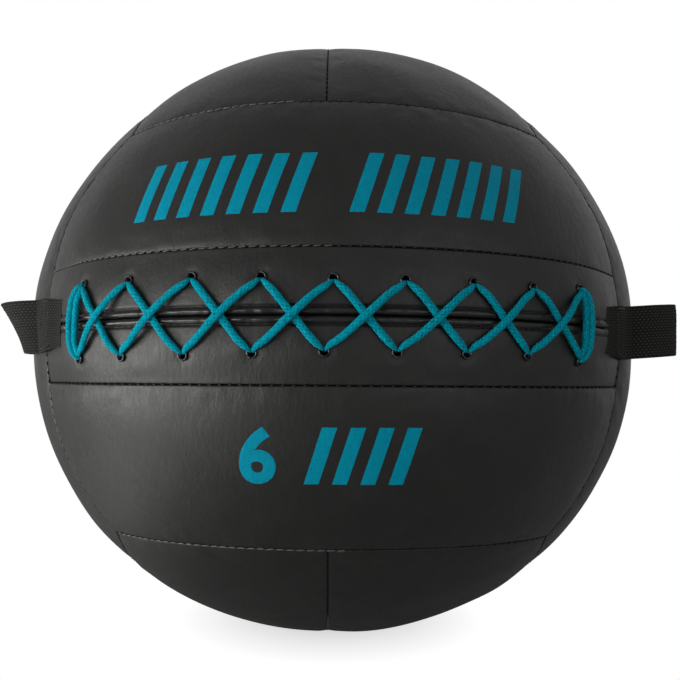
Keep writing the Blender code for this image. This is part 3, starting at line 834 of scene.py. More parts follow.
def sew_lips(ball, lacing, looks):
    """The topstitching in the groove beside the slit."""
    sizes = ball.sizes
    sewing = Sewing(stitch_template(), 23)
    for sign in (1, -1):
        end = ball.band_half_length - TOPSTITCH_MARGIN
        arcs = np.linspace(-end, end, LINE_POINTS)
        heights = np.full(arcs.shape, sign * lacing.topstitch_height)
        rises = ball.band_rise(arcs, heights) + sizes.thread_radius * TOPSTITCH_LIFT
        points = ball.on_band(arcs, heights, rises)
        out = ball.outward(points)
        for k in even_places(points, TOPSTITCH_PITCH)[0]:
            k = min(max(int(k), 1), len(points) - 2)
            sewing.stitch(points[k], points[k + 1] - points[k - 1], out[k], TOPSTITCH_LENGTH,
                          sizes.thread_radius * TOPSTITCH_FINENESS, TOPSTITCH_SLANT)
    return sewing.make("slit_topstitching", looks["thread"])


def surface_of(*objects):
    """A tree to find the outer surface of pieces with."""
    vertices, faces, start = [], [], 0
    for obj in objects:
        vertices += [v.co.copy() for v in obj.data.vertices]
        faces += [[i + start for i in p.vertices] for p in obj.data.polygons]
        start = len(vertices)
    return BVHTree.FromPolygons(vertices, faces)


PRINT_LIFT = 0.00007
PRINT_ROOT = 0.0003
PRINT_EDGE = math.radians(50)
EDGE_SHARE = 0.5
RAY_START = 1.15
RAY_REACH = 0.1
# Per row: name, first number, count, arc of the first stripe, pitch, lower and upper edge, width.
STRIPE_ROWS = (("upper_stripe_%d", 1, 7, -0.0866, 0.0120, 0.0445, 0.0733, 0.0064),
               ("upper_stripe_%d", 8, 7, 0.01395, 0.0116, 0.0445, 0.0733, 0.0064),
               ("lower_stripe_%d", 1, 4, -0.0048, 0.0118, -0.0718, -0.0470, 0.0062))
STRIPE_LEAN = math.radians(17)
NUMBER_TEXT_SIZE = 0.0335
NUMBER_WEIGHT = 0.0011
NUMBER_HEIGHT = 0.0250
NUMBER_ARC = -0.0311
NUMBER_LEVEL = -0.0594
NUMBER_CUT = 0.0015


def onto(ball, tree, face, arcs, heights, lift):
    """Points of a flat drawing laid on the cover at arcs and heights, raised by lift."""
    reach = np.sqrt(ball.radius ** 2 - heights ** 2)
    angle = arcs / reach
    flat = np.sin(angle)[..., None] * face.along + np.cos(angle)[..., None] * face.outward
    around = flat * reach[..., None] + heights[..., None] * face.across
    start = ball.settle(around * RAY_START)
    out = ball.outward(start)
    points = start.copy()
    for place in np.ndindex(start.shape[:-1]):
        hit = tree.ray_cast(Vector(start[place]), Vector(-out[place]), RAY_REACH)
        if hit[0] is None:
            raise RuntimeError("a drawing on the cover misses it at %s" % (start[place],))
        points[place] = np.array(hit[0])
    return points + out * np.asarray(lift)[..., None], points - out * PRINT_ROOT


def stripe_grid(low, high, middle_arc, width):
    """Arcs and heights of a slanted stripe of ink."""
    heights, parts = np.meshgrid(np.linspace(low, high, 25), np.linspace(-1, 1, 7), indexing="ij")
    lean = (heights - (low + high) / 2) * math.tan(STRIPE_LEAN)
    return middle_arc + lean + parts * width / 2, heights


def print_stripes(ball, tree, ink):
    """The turquoise stripes of the upper and the lower place, as thin films of ink."""
    pieces = []
    for name, number, count, first, pitch, low, high, width in STRIPE_ROWS:
        for k in range(count):
            arcs, heights = stripe_grid(low, high, first + pitch * k, width)
            lift = np.full(arcs.shape, PRINT_LIFT * EDGE_SHARE)
            lift[1:-1, 1:-1] = PRINT_LIFT
            top, base = onto(ball, tree, ball.front, arcs, heights, lift)
            vertices, faces = skin_between(top, base)
            made = mesh_object(name % (number + k), vertices, faces, ink, skin_map(arcs, heights))
            made.data.set_sharp_from_angle(angle=PRINT_EDGE)
            pieces.append(made)
    return pieces


def print_number(ball, tree, ink):
    """The plain number of the lower place, as a thin film of ink."""
    bpy.ops.object.select_all(action="DESELECT")
    bpy.ops.object.text_add()
    obj = bpy.context.object
    text = obj.data
    text.body = "6"
    text.size = NUMBER_TEXT_SIZE
    text.offset = NUMBER_WEIGHT
    text.resolution_u = 8
    bpy.ops.object.convert(target="MESH")
    obj = bpy.context.object
    obj.name = obj.data.name = "lower_number"
    bm = bmesh.new()
    bm.from_mesh(obj.data)
    low = Vector((min(v.co.x for v in bm.verts), min(v.co.y for v in bm.verts), 0))
    high = Vector((max(v.co.x for v in bm.verts), max(v.co.y for v in bm.verts), 0))
    for axis in (0, 1):
        place = low[axis] + NUMBER_CUT
        while place < high[axis]:
            cut = Vector((0, 0, 0))
            cut[axis] = place
            way = Vector((0, 0, 0))
            way[axis] = 1
            geometry = bm.verts[:] + bm.edges[:] + bm.faces[:]
            bmesh.ops.bisect_plane(bm, geom=geometry, plane_co=cut, plane_no=way, dist=1e-7)
            place += NUMBER_CUT
    bmesh.ops.remove_doubles(bm, verts=bm.verts[:], dist=1e-6)
    flat = np.array([v.co for v in bm.verts], float)
    scale = NUMBER_HEIGHT / (high.y - low.y)
    arcs = (flat[:, 0] - (low.x + high.x) / 2) * scale + NUMBER_ARC
    heights = (flat[:, 1] - (low.y + high.y) / 2) * scale + NUMBER_LEVEL
    edge = np.array([EDGE_SHARE if any(e.is_boundary for e in v.link_edges) else 1.0
                     for v in bm.verts])
    top, base = onto(ball, tree, ball.front, arcs, heights, PRINT_LIFT * edge)
    faces = [[v.index for v in f.verts] for f in bm.faces]
    count = len(flat)
    walls = [(e.verts[0].index, e.verts[1].index) for e in bm.edges if e.is_boundary]
    bm.free()
    bpy.data.objects.remove(obj, do_unlink=True)
    rows = [tuple(f) for f in faces] + [tuple(i + count for i in reversed(f)) for f in faces]
    rows += [(a, b, b + count, a + count) for a, b in walls]
    made = mesh_object("lower_number", np.concatenate([top, base]), rows, ink,
                       skin_map(arcs, heights))
    face_outwards(made)
    made.data.set_sharp_from_angle(angle=PRINT_EDGE)
    return made


def facing(direction):
    """The turn that takes +Z to a direction, keeping X level."""
    z = Vector(direction).normalized()
    x = Vector((0, 0, 1)).cross(z).normalized()
    return Matrix((x, z.cross(x), z)).transposed().to_4x4()


def eyelet_template(lacing, look):
    """One pressed eyelet about Z: domed flange, barrel and rolled rim."""
    bore, flange = lacing.eyelet_bore / 2, lacing.eyelet_flange
    bpy.ops.object.select_all(action="DESELECT")
    bpy.ops.mesh.primitive_torus_add(major_segments=40, minor_segments=14,
                                     major_radius=(bore + flange) / 2,
                                     minor_radius=(flange - bore) / 2)
    ring = bpy.context.object
    bpy.ops.object.mode_set(mode="EDIT")
    bpy.ops.mesh.select_all(action="SELECT")
    bpy.ops.transform.resize(value=(1, 1, 1.15), center_override=(0, 0, 0))
    bpy.ops.transform.translate(value=(0, 0, 0.00025))
    bpy.ops.mesh.primitive_cylinder_add(vertices=40, radius=bore + 0.0003, depth=0.0036,
                                        end_fill_type="NOTHING", location=(0, 0, -0.0016))
    bpy.ops.mesh.primitive_torus_add(major_segments=40, minor_segments=10,
                                     major_radius=bore + 0.0006, minor_radius=0.0005,
                                     location=(0, 0, -0.0034))
    bpy.ops.object.mode_set(mode="OBJECT")
    bm = bmesh.new()
    bm.from_mesh(ring.data)
    barrel = [f for f in bm.faces if any(e.is_boundary for e in f.edges)]
    bmesh.ops.recalc_face_normals(bm, faces=barrel)
    bmesh.ops.solidify(bm, geom=barrel, thickness=0.00025)
    bm.to_mesh(ring.data)
    bm.free()
    ring.data.shade_smooth()
    ring.data.materials.clear()
    ring.data.materials.append(look)
    return ring


EYELET_SINK = 0.00020
EYELET_TILT = 0.05


def make_eyelets(ball, lacing, looks):
    """The 18 eyelets, each a copy with its own mesh."""
    template = eyelet_template(lacing, looks["metal"])
    random = np.random.default_rng(31)
    made = []
    for row, sign in ROWS:
        for number, (arc, height) in enumerate(eyelet_places(ball, lacing, sign), start=1):
            rise = float(ball.band_rise(arc, height)) - EYELET_SINK
            place = Vector(ball.on_band(arc, height, rise))
            tilt = Matrix.Rotation(random.normal(0, EYELET_TILT), 4, "X")
            spin = Matrix.Rotation(random.uniform(0, 6.28), 4, "Z")
            way = facing(ball.outward(np.array(place)))
            mesh = template.data.copy()
            mesh.transform(Matrix.Translation(place) @ way @ tilt @ spin)
            name = "%s_eyelet_%d" % (row, number)
            piece = new_object("pressed_" + name, mesh)
            mesh.name = piece.name
            made.append((piece, name))
    bpy.data.objects.remove(template, do_unlink=True)
    return made


LACE_PAIR = 0.0008
LACE_SIDES = 26
LACE_STEP = 0.00038
HIDDEN_LACE_STEP = 0.0016
LACE_GIRTH = 0.0104
BRAID_PITCH = 0.0021
BRAID_COLUMNS = 5
BRAID_SWAY = 0.35
SWAY_WAVES = (9, 0.004, 0.011)
FUZZ_RADIUS = 0.0016
FUZZ_WAVES = (18, 0.0009, 0.0032)
FUZZ_HEIGHT = 0.00007


class LaceRoute:
    """The lace's way through the eyelets: arc, height, rise, half width and half height."""

    def __init__(self, ball, lacing):
        self.rows = []
        self.lacing = lacing
        self.upper = eyelet_places(ball, lacing, 1)
        self.lower = eyelet_places(ball, lacing, -1)
        self.end_arc = abs(self.upper[1][0]) * 1.1
        self.wide, self.high = lacing.lace_half_width, lacing.lace_half_height
        self.slim = (self.wide * 0.50, self.high * 0.55)
        self.mid = (self.wide * 0.90, self.high * 0.90)
        self.full = (self.wide, self.high)
        self.flat = (self.wide * 1.06, self.high * 0.84)
        self.behind = -ball.sizes.band_thickness
        self.tuck = -0.0040
        self.deep_tuck = -0.0056
        self.flange = ball.sizes.band_crown + 0.0011
        self.over = ball.sizes.band_crown + 0.0008 + self.high
        self.on_lips = ball.sizes.band_crown + 0.0003 + self.high
        self.over_strand = self.on_lips + 1.72 * self.high

    def add(self, arc, height, rise, size):
        self.rows.append((arc, height, rise, *size))

    def way(self, a, b, t):
        """A place between two eyelets."""
        return a[0] * (1 - t) + b[0] * t, a[1] * (1 - t) + b[1] * t

    def out_of(self, place):
        """Up through an eyelet, on the side of its hole that is nearer the slit."""
        sign = math.copysign(1, place[1])
        self.add(place[0], place[1] - sign * 0.0006, self.behind, self.slim)
        self.add(place[0], place[1] - sign * 0.0012, self.flange - 0.0007, self.slim)

    def into(self, place):
        """Down through an eyelet, as out_of() comes up."""
        sign = math.copysign(1, place[1])
        self.add(place[0], place[1] - sign * 0.0012, self.flange - 0.0007, self.slim)
        self.add(place[0], place[1] - sign * 0.0006, self.behind, self.slim)

    def shoulder(self, place, other):
        """Where a strand comes over an eyelet's flange, on its way to another eyelet."""
        sign = math.copysign(1, place[1])
        run, rise = other[0] - place[0], other[1] - place[1]
        far = math.hypot(run, rise)
        side = math.copysign(1, run)
        in_end = abs(place[0]) > self.end_arc
        near = (place[0] + side * (0.0028 if in_end else 0.0021), place[1] - sign * 0.0033)
        away = (place[0] + run / far * 0.0062 + side * (0.0014 if in_end else 0.0009),
                place[1] + rise / far * 0.0062 - sign * 0.0012)
        return near, away

    def cross(self, a, b, middle):
        """Over the slit from eyelet to eyelet, with the strand's rise where strands cross."""
        between = (self.over + middle) / 2
        near, away = self.shoulder(a, b)
        self.out_of(a)
        self.add(*near, self.over - 0.0005, self.mid)
        self.add(*away, self.over, self.full)
        self.add(*self.way(a, b, 0.29), between, self.full)
        self.add(*self.way(a, b, 0.43), middle, self.flat)
        self.add(*self.way(a, b, 0.57), middle, self.flat)
        self.add(*self.way(a, b, 0.71), between, self.full)
        near, away = self.shoulder(b, a)
        self.add(*away, self.over, self.full)
        self.add(*near, self.over - 0.0005, self.mid)
        self.into(b)

    def bar(self, a, b, way, bow, outer):
        """A strand that closes an end of the slit, bowed away from the middle of the ball."""
        low = self.on_lips + 0.0001 + 0.0012 * outer
        beside = 0.0038 * outer - 0.0020
        wide = (self.wide * 1.10, self.high * 1.10)
        self.out_of(a)
        self.add(a[0] + way * beside, a[1] - 0.0030, self.over - 0.0004, self.mid)
        for t in (0.22, 0.36, 0.5, 0.64, 0.78):
            arc, height = self.way(a, b, t)
            bowed = math.sin(math.pi * t) ** 0.8
            rise = self.over + (low - self.over) * math.sin(math.pi * t)
            self.add(arc + way * (beside + bow * bowed), height, rise, wide)
        self.add(b[0] + way * beside, b[1] + 0.0030, self.over - 0.0004, self.mid)
        self.into(b)

    def under(self, a, b, deep, bow=0.0):
        """Behind the band from a lower eyelet to an upper one."""
        self.add(*a, deep, self.slim)
        for t in (0.25, 0.5, 0.75):
            arc, height = self.way(a, b, t)
            self.add(arc + bow * (1 - (2 * t - 1) ** 2), height, deep, self.slim)
        self.add(*b, deep, self.slim)

    def end_places(self, upper, lower, way):
        """The three strands in each end eyelet: the crossing one, the inner and the outer bar."""
        far = 2 * LACE_PAIR / math.sqrt(3)
        near, aside = far / 2, far * math.sin(math.radians(60))
        (ua, uh), (la, lh) = upper, lower
        return {"cross_up": (ua - way * aside, uh - near), "inner_up": (ua + way * aside, uh - near),
                "outer_up": (ua, uh + far), "cross_low": (la - way * aside, lh + near),
                "inner_low": (la + way * aside, lh + near), "outer_low": (la, lh - far)}

    def lay(self):
        """The whole way, from one hidden end to the other."""
        upper, lower = self.upper, self.lower
        last, pair = len(upper) - 1, LACE_PAIR
        first = self.end_places(upper[0], lower[0], -1)
        final = self.end_places(upper[last], lower[last], 1)
        bow = self.lacing.bar_bow
        start = first["inner_up"]
        self.add(start[0] + bow / 2, start[1] - self.lacing.tail_length, self.tuck, self.slim)
        self.add(*start, self.tuck, self.slim)
        self.bar(first["inner_up"], first["inner_low"], -1, bow, 0)
        self.under(first["inner_low"], first["outer_up"], self.deep_tuck, -bow)
        self.bar(first["outer_up"], first["outer_low"], -1, bow, 1)
        self.under(first["outer_low"], first["cross_up"], self.deep_tuck, bow)
        here = first["cross_up"]
        for i in range(1, last + 1):
            low = (lower[i][0] - pair, lower[i][1]) if i < last else final["cross_low"]
            high = (upper[i][0] + pair, upper[i][1]) if i < last else final["inner_up"]
            self.cross(here, low, self.on_lips)
            self.under(low, high, self.tuck)
            here = high
        self.bar(final["inner_up"], final["inner_low"], 1, bow, 0)
        self.under(final["inner_low"], final["outer_up"], self.deep_tuck, bow)
        self.bar(final["outer_up"], final["outer_low"], 1, bow, 1)
        self.under(final["outer_low"], final["cross_up"], self.deep_tuck, -bow)
        here = final["cross_up"]
        for i in range(last - 1, -1, -1):
            low = (lower[i][0] + pair, lower[i][1]) if i else first["cross_low"]
            self.cross(here, low, self.over_strand)
            if i:
                here = (upper[i][0] - pair, upper[i][1])
                self.under(low, here, self.deep_tuck)
        self.add(*low, self.tuck, self.slim)
        self.add(low[0] + bow / 2, low[1] + self.lacing.tail_length, self.tuck, self.slim)
        return np.array(self.rows)


def rounded_way(rows, seen_pitch, hidden_pitch):
    """The lace's way on one smooth curve, closely spaced where it can be seen."""
    steps = np.linalg.norm(np.diff(rows[:, :3], axis=0), axis=1)
    rows = rows[np.concatenate([[True], steps > 1e-6])]
    spans = np.linalg.norm(np.diff(rows[:, :3], axis=0), axis=1) ** 0.5
    slopes = np.zeros_like(rows)
    before, after = spans[:-1, None], spans[1:, None]
    left = (rows[1:-1] - rows[:-2]) / before
    right = (rows[2:] - rows[1:-1]) / after
    slopes[1:-1] = (left * after + right * before) / (before + after)
    slopes[0] = (rows[1] - rows[0]) / spans[0]
    slopes[-1] = (rows[-1] - rows[-2]) / spans[-1]
    out = []
    for k, span in enumerate(spans):
        a, b = rows[k], rows[k + 1]
        long = np.linalg.norm(b[:3] - a[:3])
        hidden = a[2] < 0 and b[2] < 0
        count = max(1, round(long / (hidden_pitch if hidden else seen_pitch)))
        t = (np.arange(count) / count)[:, None]
        out.append((2 * t ** 3 - 3 * t ** 2 + 1) * a + (t ** 3 - 2 * t ** 2 + t) * span * slopes[k]
                   + (3 * t ** 2 - 2 * t ** 3) * b + (t ** 3 - t ** 2) * span * slopes[k + 1])
    return np.vstack([*out, rows[-1:]])


def steady_sides(tangent, out):
    """Directions across the lace, which turn steadily along it and lie on the ball elsewhere."""
    side = np.empty_like(tangent)
    previous = np.cross(tangent[0], out[0])
    for k in range(len(tangent)):
        flat = np.cross(tangent[k], out[k])
        strength = np.linalg.norm(flat)
        carried = previous - tangent[k] * (previous @ tangent[k])
        carried /= np.linalg.norm(carried)
        if flat @ carried < 0:
            flat = -flat
        weight = min(1.0, strength / 0.7) ** 3 * 0.35
        mixed = carried * (1 - weight) + (flat / max(strength, 1e-9)) * weight
        mixed -= tangent[k] * (mixed @ tangent[k])
        side[k] = previous = mixed / np.linalg.norm(mixed)
    return side


def make_lace(ball, lacing, looks):
    """One unbroken braided lace through all the eyelets."""
    rows = rounded_way(LaceRoute(ball, lacing).lay(), LACE_STEP, HIDDEN_LACE_STEP)
    centre = ball.on_band(rows[:, 0], rows[:, 1], rows[:, 2])
    steps = np.linalg.norm(np.diff(centre, axis=0), axis=1)
    along = np.concatenate([[0], np.cumsum(steps)])
    print("lace length %.3f m" % along[-1])
    tangent = np.gradient(centre, axis=0)
    tangent /= np.linalg.norm(tangent, axis=1, keepdims=True)
    side = steady_sides(tangent, ball.outward(centre))
    normal = np.cross(side, tangent)
    sides = LACE_SIDES
    angle = 2 * math.pi * np.arange(sides) / sides
    around, run = np.meshgrid(angle, along, indexing="xy")
    sway = BRAID_SWAY * wave_sum(run[..., None], waves(*SWAY_WAVES, 56, 1))
    crest = (np.cos(BRAID_COLUMNS * around + sway)
             * np.cos(math.pi * 2 * run / BRAID_PITCH + sway))
    diagonal = 0.5 + 0.5 * crest
    fuzz = wave_sum(np.stack([run, FUZZ_RADIUS * np.cos(around), FUZZ_RADIUS * np.sin(around)], -1),
                    waves(*FUZZ_WAVES, 55))
    scale = np.minimum(1, rows[:, 3] / lacing.lace_half_width)[:, None]
    bump = lacing.braid_depth * (diagonal - 0.5) * scale + FUZZ_HEIGHT * fuzz * scale
    wide = rows[:, 3][:, None] * np.cos(around)
    high = rows[:, 4][:, None] * np.sin(around)
    size = np.hypot(wide, high)
    stretch = 1 + bump / np.maximum(size, 1e-6)
    ring = (centre[:, None] + side[:, None] * (wide * stretch)[..., None]
            + normal[:, None] * (high * stretch)[..., None])
    count = len(centre)
    index = np.arange(count * sides).reshape(count, sides)
    after = np.roll(index, -1, axis=1)
    faces = np.stack([index[:-1], after[:-1], after[1:], index[1:]], -1).reshape(-1, 4)
    vertices = ring.reshape(-1, 3)
    ends = [list(range(sides)), list(range((count - 1) * sides, count * sides))]
    rows_of_faces = [tuple(f) for f in faces]
    rows_of_faces += [tuple(reversed(ends[0])), tuple(ends[1])]
    uv = np.stack([run, around / (2 * math.pi) * LACE_GIRTH], -1).reshape(-1, 2)
    # This attribute holds the braid's crest height, which the lace finish turns into painted shade
    # in the valleys and a painted highlight on the crests.
    made = mesh_object("braided_lace", vertices, rows_of_faces, looks["lace"], uv,
                       {"braid_shading": diagonal.reshape(-1)})
    face_outwards(made)
    return made


def eased(value):
    """A step from 0 to 1 that starts and ends gently."""
    value = min(1, max(0, value))
    return value * value * (3 - 2 * value)


STRAP_STEP = 0.00036
STRAP_LINES = 83
MIDDLE_LINE = 40
LIES_REACH = 0.017
UNDER_START = 0.004
BASE_GAP = 0.0003
BEND_START = -0.0005
BEND_REACH = 0.013
WEAVE_MARGIN = 0.0012
SELVEDGE_ROLL = 0.0007
STRAP_WAVES = (12, 0.012, 0.04)
STRAP_WAVE_HEIGHT = 0.00012
STITCH_RUNS = (-0.0175, -0.0030)
STITCH_HEIGHTS = (-0.0122, 0.0122)
BASE_STITCH_LENGTH = 0.0022
BASE_STITCH_RADIUS = 0.00024
FOLD_BEFORE = 0.0030
FOLD_AFTER = 0.0035


def strap_path(sizes):
    """The strap from its sewn end out to the loop's end and back, as rows of run, depth, half.

    Run is the distance from the fold line, negative on the sewn base. Depth is measured from the
    strap's outer face to the middle of a layer, and half is half the layer's thickness."""
    thick = sizes.web_thickness
    reach = sizes.loop_length - sizes.tack_length

    def bulge(run):
        x = min(1, max(0, (run - sizes.tack_length) / reach))
        return math.sin(math.pi * x) ** 0.8 if 0 < x < 1 else 0

    rows = []
    end = sizes.loop_length - thick
    for run in np.arange(-sizes.base_length, end, STRAP_STEP):
        lies = eased((run + sizes.base_length) / LIES_REACH)
        depth = -thick * (2.3 - 1.8 * lies) + sizes.eye_outward * bulge(run)
        rows.append((run, depth, thick / 2 * (0.25 + 0.75 * lies)))
    for angle in np.linspace(0, math.pi, 9)[1:-1]:
        run = end + thick * 1.05 * math.sin(angle)
        rows.append((run, -thick + thick / 2 * math.cos(angle), thick / 2))
    for run in np.arange(-sizes.base_length + UNDER_START, end, STRAP_STEP)[::-1]:
        lies = eased((run + sizes.base_length) / LIES_REACH)
        depth = -thick * (3.3 - 1.8 * lies) - sizes.eye_inward * bulge(run)
        rows.append((run, depth, thick / 2 * (0.2 + 0.8 * lies)))
    return np.array(rows)


def woven(loops, u, v):
    """The weave at a run along and a height across: how near each crown, and its height."""
    column = np.floor(v / loops.yarn_width)
    part = v / loops.yarn_width - column
    slant = np.where(column % 2 == 0, 0.35, -0.35) * (part - 0.5)
    float_wave = 0.5 + 0.5 * np.cos(2 * math.pi * (u / loops.yarn_pitch + slant + column * 0.5))
    yarn = np.sin(math.pi * part) ** 0.7 * (0.35 + 0.65 * float_wave)
    edge = np.clip((loops.web_width / 2 - np.abs(v)) / WEAVE_MARGIN, 0, 1)
    return yarn, loops.yarn_depth * (yarn - 0.6) * edge


def sew_base(ball, place, name, seed, look):
    """The box of stitches that holds a loop's base down, at places on the strap."""
    sewing = Sewing(stitch_template(), seed)
    stitches = []
    for run in STITCH_RUNS:
        stitches += [(run, h, (0, 1)) for h in np.arange(-0.0115, 0.0116, 0.0029)]
    for height in STITCH_HEIGHTS:
        stitches += [(r, height, (1, 0)) for r in np.arange(-0.0160, -0.0032, 0.0028)]
    for run, height, (run_way, up_way) in stitches:
        depth = np.array([0.00012])
        here = place(np.array([run]), depth, height)[0]
        ahead = place(np.array([run + 0.0005]), depth, height)[0] - here
        direction = ahead * run_way + np.array((0, 0, 1.0)) * up_way
        sewing.stitch(here, direction, ball.outward(here), BASE_STITCH_LENGTH,
                      BASE_STITCH_RADIUS)
    return sewing.make(name, look)


def make_webbing(ball, loops, side, way, looks):
    """A loop of woven webbing with its sewn-down base, in one strap."""
    sizes = ball.sizes
    thick = loops.web_thickness
    drop = loops.left_drop if way < 0 else loops.right_drop
    high_lift = loops.left_lift if way < 0 else loops.right_lift
    low_lift = loops.left_low_lift if way < 0 else loops.right_lift
    tilt = math.tan(loops.left_tilt if way < 0 else loops.right_tilt)
    skew = loops.left_skew if way < 0 else 0.0
    arc = ball.band_half_length - thick
    angle = arc / ball.radius
    outward = np.array((way * math.sin(angle), -math.cos(angle), 0))
    rearward = np.array((way * math.cos(angle), math.sin(angle), 0))

    def top_rise(arcs):
        crown = sizes.band_crown * (1 - (arcs / ball.band_half_length) ** 6)
        return crown + BASE_GAP + 2 * thick

    hinge = outward * (ball.seam_radius + float(top_rise(np.array(arc))))
    path = strap_path(loops)
    heights = np.linspace(-loops.web_width / 2, loops.web_width / 2, STRAP_LINES)
    fine = np.linspace(0, loops.loop_length + thick, 400)

    def place(runs, depths, height):
        """Points of the strap at a height over its middle line."""
        level = (height + loops.web_width / 2) / loops.web_width
        lift = low_lift + (high_lift - low_lift) * level
        draw = math.cos(math.asin(min(1, abs(height - drop) / ball.radius)))
        ease = np.clip((fine - BEND_START) / BEND_REACH, 0, 1)
        heading = lift * ease * ease * (3 - 2 * ease)
        steps = np.diff(fine, prepend=fine[0])
        ahead = np.cumsum(steps * np.cos(heading))
        off = np.cumsum(steps * np.sin(heading))
        out = np.empty((len(runs), 3))
        for k, (run, depth) in enumerate(zip(runs, depths)):
            if run < 0:
                level = height * (1 - loops.base_narrowing * eased(-run / loops.base_length))
                here = ball.on_band(way * (arc + run), level - drop,
                                    float(top_rise(np.array(arc + run))) + depth)
            else:
                run = run * (1 - skew * (0.5 - height / loops.web_width))
                a, o, h = (np.interp(run, fine, table) for table in (ahead, off, heading))
                skin = outward * math.cos(h) - rearward * math.sin(h)
                here = hinge * draw + rearward * a + outward * o + skin * depth
                level = height + run * tilt
            out[k] = here
            out[k, 2] = ball.centre_height - drop + level
        return out

    middle = np.stack([place(path[:, 0], path[:, 1], h) for h in heights], axis=1)
    along = np.gradient(middle, axis=0)
    across = np.gradient(middle, axis=1)
    skin = np.cross(along, across)
    skin /= np.linalg.norm(skin, axis=-1, keepdims=True)
    if skin[5, MIDDLE_LINE] @ outward < 0:
        skin = -skin
    steps = np.linalg.norm(np.diff(middle[:, MIDDLE_LINE], axis=0), axis=1)
    run = np.concatenate([[0], np.cumsum(steps)])
    u, v = np.meshgrid(run, heights, indexing="ij")
    yarn, rise = woven(loops, u, v)
    inside = np.clip((loops.web_width / 2 - np.abs(v)) / SELVEDGE_ROLL, 0, 1)
    selvedge = np.sqrt(np.maximum(0, 1 - (1 - inside) ** 2))
    half = path[:, 2][:, None] * (0.35 + 0.65 * selvedge)
    sway = STRAP_WAVE_HEIGHT * wave_sum(np.stack([u, v], -1), waves(*STRAP_WAVES, 71 + way, 2))
    front = middle + skin * (half + rise + sway)[..., None]
    back = middle + skin * (-half - rise + sway)[..., None]
    vertices, faces = skin_between(front, back)
    # The weave attribute holds the yarns' height, which the webbing finish turns into painted
    # highlight and painted shade.
    made = mesh_object("%s_loop_strap" % side, vertices, faces, looks["webbing"],
                       skin_map(u, v), {"weave": np.tile(yarn.reshape(-1), 2)})
    thread = sew_base(ball, place, "%s_base_stitching" % side, 81 + way, looks["thread"])
    fold = ball.settle(hinge)
    return made, thread, fold - rearward * FOLD_BEFORE, fold + rearward * FOLD_AFTER


TONGUE_SHORTER = 0.014
TONGUE_HALF_WIDTH = 0.022
TONGUE_FRONT = 0.0066
TONGUE_BACK = 0.0077
TONGUE_WAVE_HEIGHT = 0.00010
FILLING_DEPTH = 0.0084
FILLING_LUMP = 0.0006
HOLLOW_RADIUS = 0.0586
CORE_RADIUS = 0.0566
CORE_LUMP = 0.0008


def make_flap(ball, looks):
    """The tongue behind the slit."""
    along = np.linspace(-1, 1, 161) * (1 - TONGUE_SHORTER / ball.band_half_length)
    across = np.linspace(-1, 1, 21) * TONGUE_HALF_WIDTH
    u, heights = np.meshgrid(along, across, indexing="ij")
    arcs = u * ball.band_half_length
    slow = wave_sum(np.stack([arcs, heights], -1), waves(12, 0.02, 0.05, 91, 2))
    rise = TONGUE_WAVE_HEIGHT * slow
    outer = ball.front.points(u, heights, ball.seam_radius - TONGUE_FRONT + rise)
    inner = ball.front.points(u, heights, ball.seam_radius - TONGUE_BACK + rise)
    vertices, faces = skin_between(outer, inner)
    return mesh_object("slit_tongue", vertices, faces, looks["leather"], skin_map(arcs, heights))


def make_half_filling(ball, name, sign, looks):
    """One half of the packed fibre, lumpy outside, with half of the hollow for the core."""
    turns = np.linspace(0, 2 * math.pi, 97)[:-1]
    rings = np.linspace(0.0012, math.pi / 2 - 0.0001, 33)
    outside = ball.seam_radius - FILLING_DEPTH
    tip = np.concatenate([rings, rings[::-1]])
    radius = np.repeat([outside, HOLLOW_RADIUS], len(rings))
    t, k = np.meshgrid(turns, np.arange(len(tip)), indexing="xy")
    lift, size = tip[k], radius[k]
    flat = np.cos(lift)
    points = np.stack([size * flat * np.cos(t), sign * size * np.sin(lift),
                       size * flat * np.sin(t)], -1)
    lumps = wave_sum(points, waves(30, 0.012, 0.045, 95))
    lump = FILLING_LUMP * (np.tanh(lumps) - 1) * np.minimum(1, lift / 0.05)
    inward = np.where(size > HOLLOW_RADIUS, lump, 0)
    points *= (1 + inward / size)[..., None]
    count, sides = points.shape[:2]
    index = np.arange(count * sides).reshape(count, sides)
    after = np.roll(index, -1, axis=1)
    middle = len(rings) - 1
    faces = [tuple(f) for k in range(count - 1) if k != middle for f in
             np.stack([index[k], after[k], after[k + 1], index[k + 1]], -1)]
    faces += [tuple(f) for f in np.stack([after[0], index[0], index[-1], after[-1]], -1)]
    faces += [tuple(index[middle][::-1]), tuple(index[middle + 1])]
    vertices = ball.settle(points.reshape(-1, 3))
    made = mesh_object(name, vertices, faces, looks["filling"])
    face_outwards(made)
    return made


def make_core(ball, looks):
    """The weight bag in the middle, a little slack."""
    bpy.ops.object.select_all(action="DESELECT")
    bpy.ops.mesh.primitive_uv_sphere_add(segments=64, ring_count=40, radius=CORE_RADIUS)
    obj = bpy.context.object
    obj.name = obj.data.name = "weight_bag"
    points = np.array([v.co for v in obj.data.vertices], float)
    lumps = wave_sum(points, waves(24, 0.02, 0.06, 97))
    points *= (1 + CORE_LUMP * (np.tanh(lumps) - 1) / CORE_RADIUS)[:, None]
    obj.data.vertices.foreach_set("co", ball.settle(points).astype(np.float32).ravel())
    obj.data.shade_smooth()
    obj.data.materials.append(looks["canvas"])
    obj.data.update()
    return obj


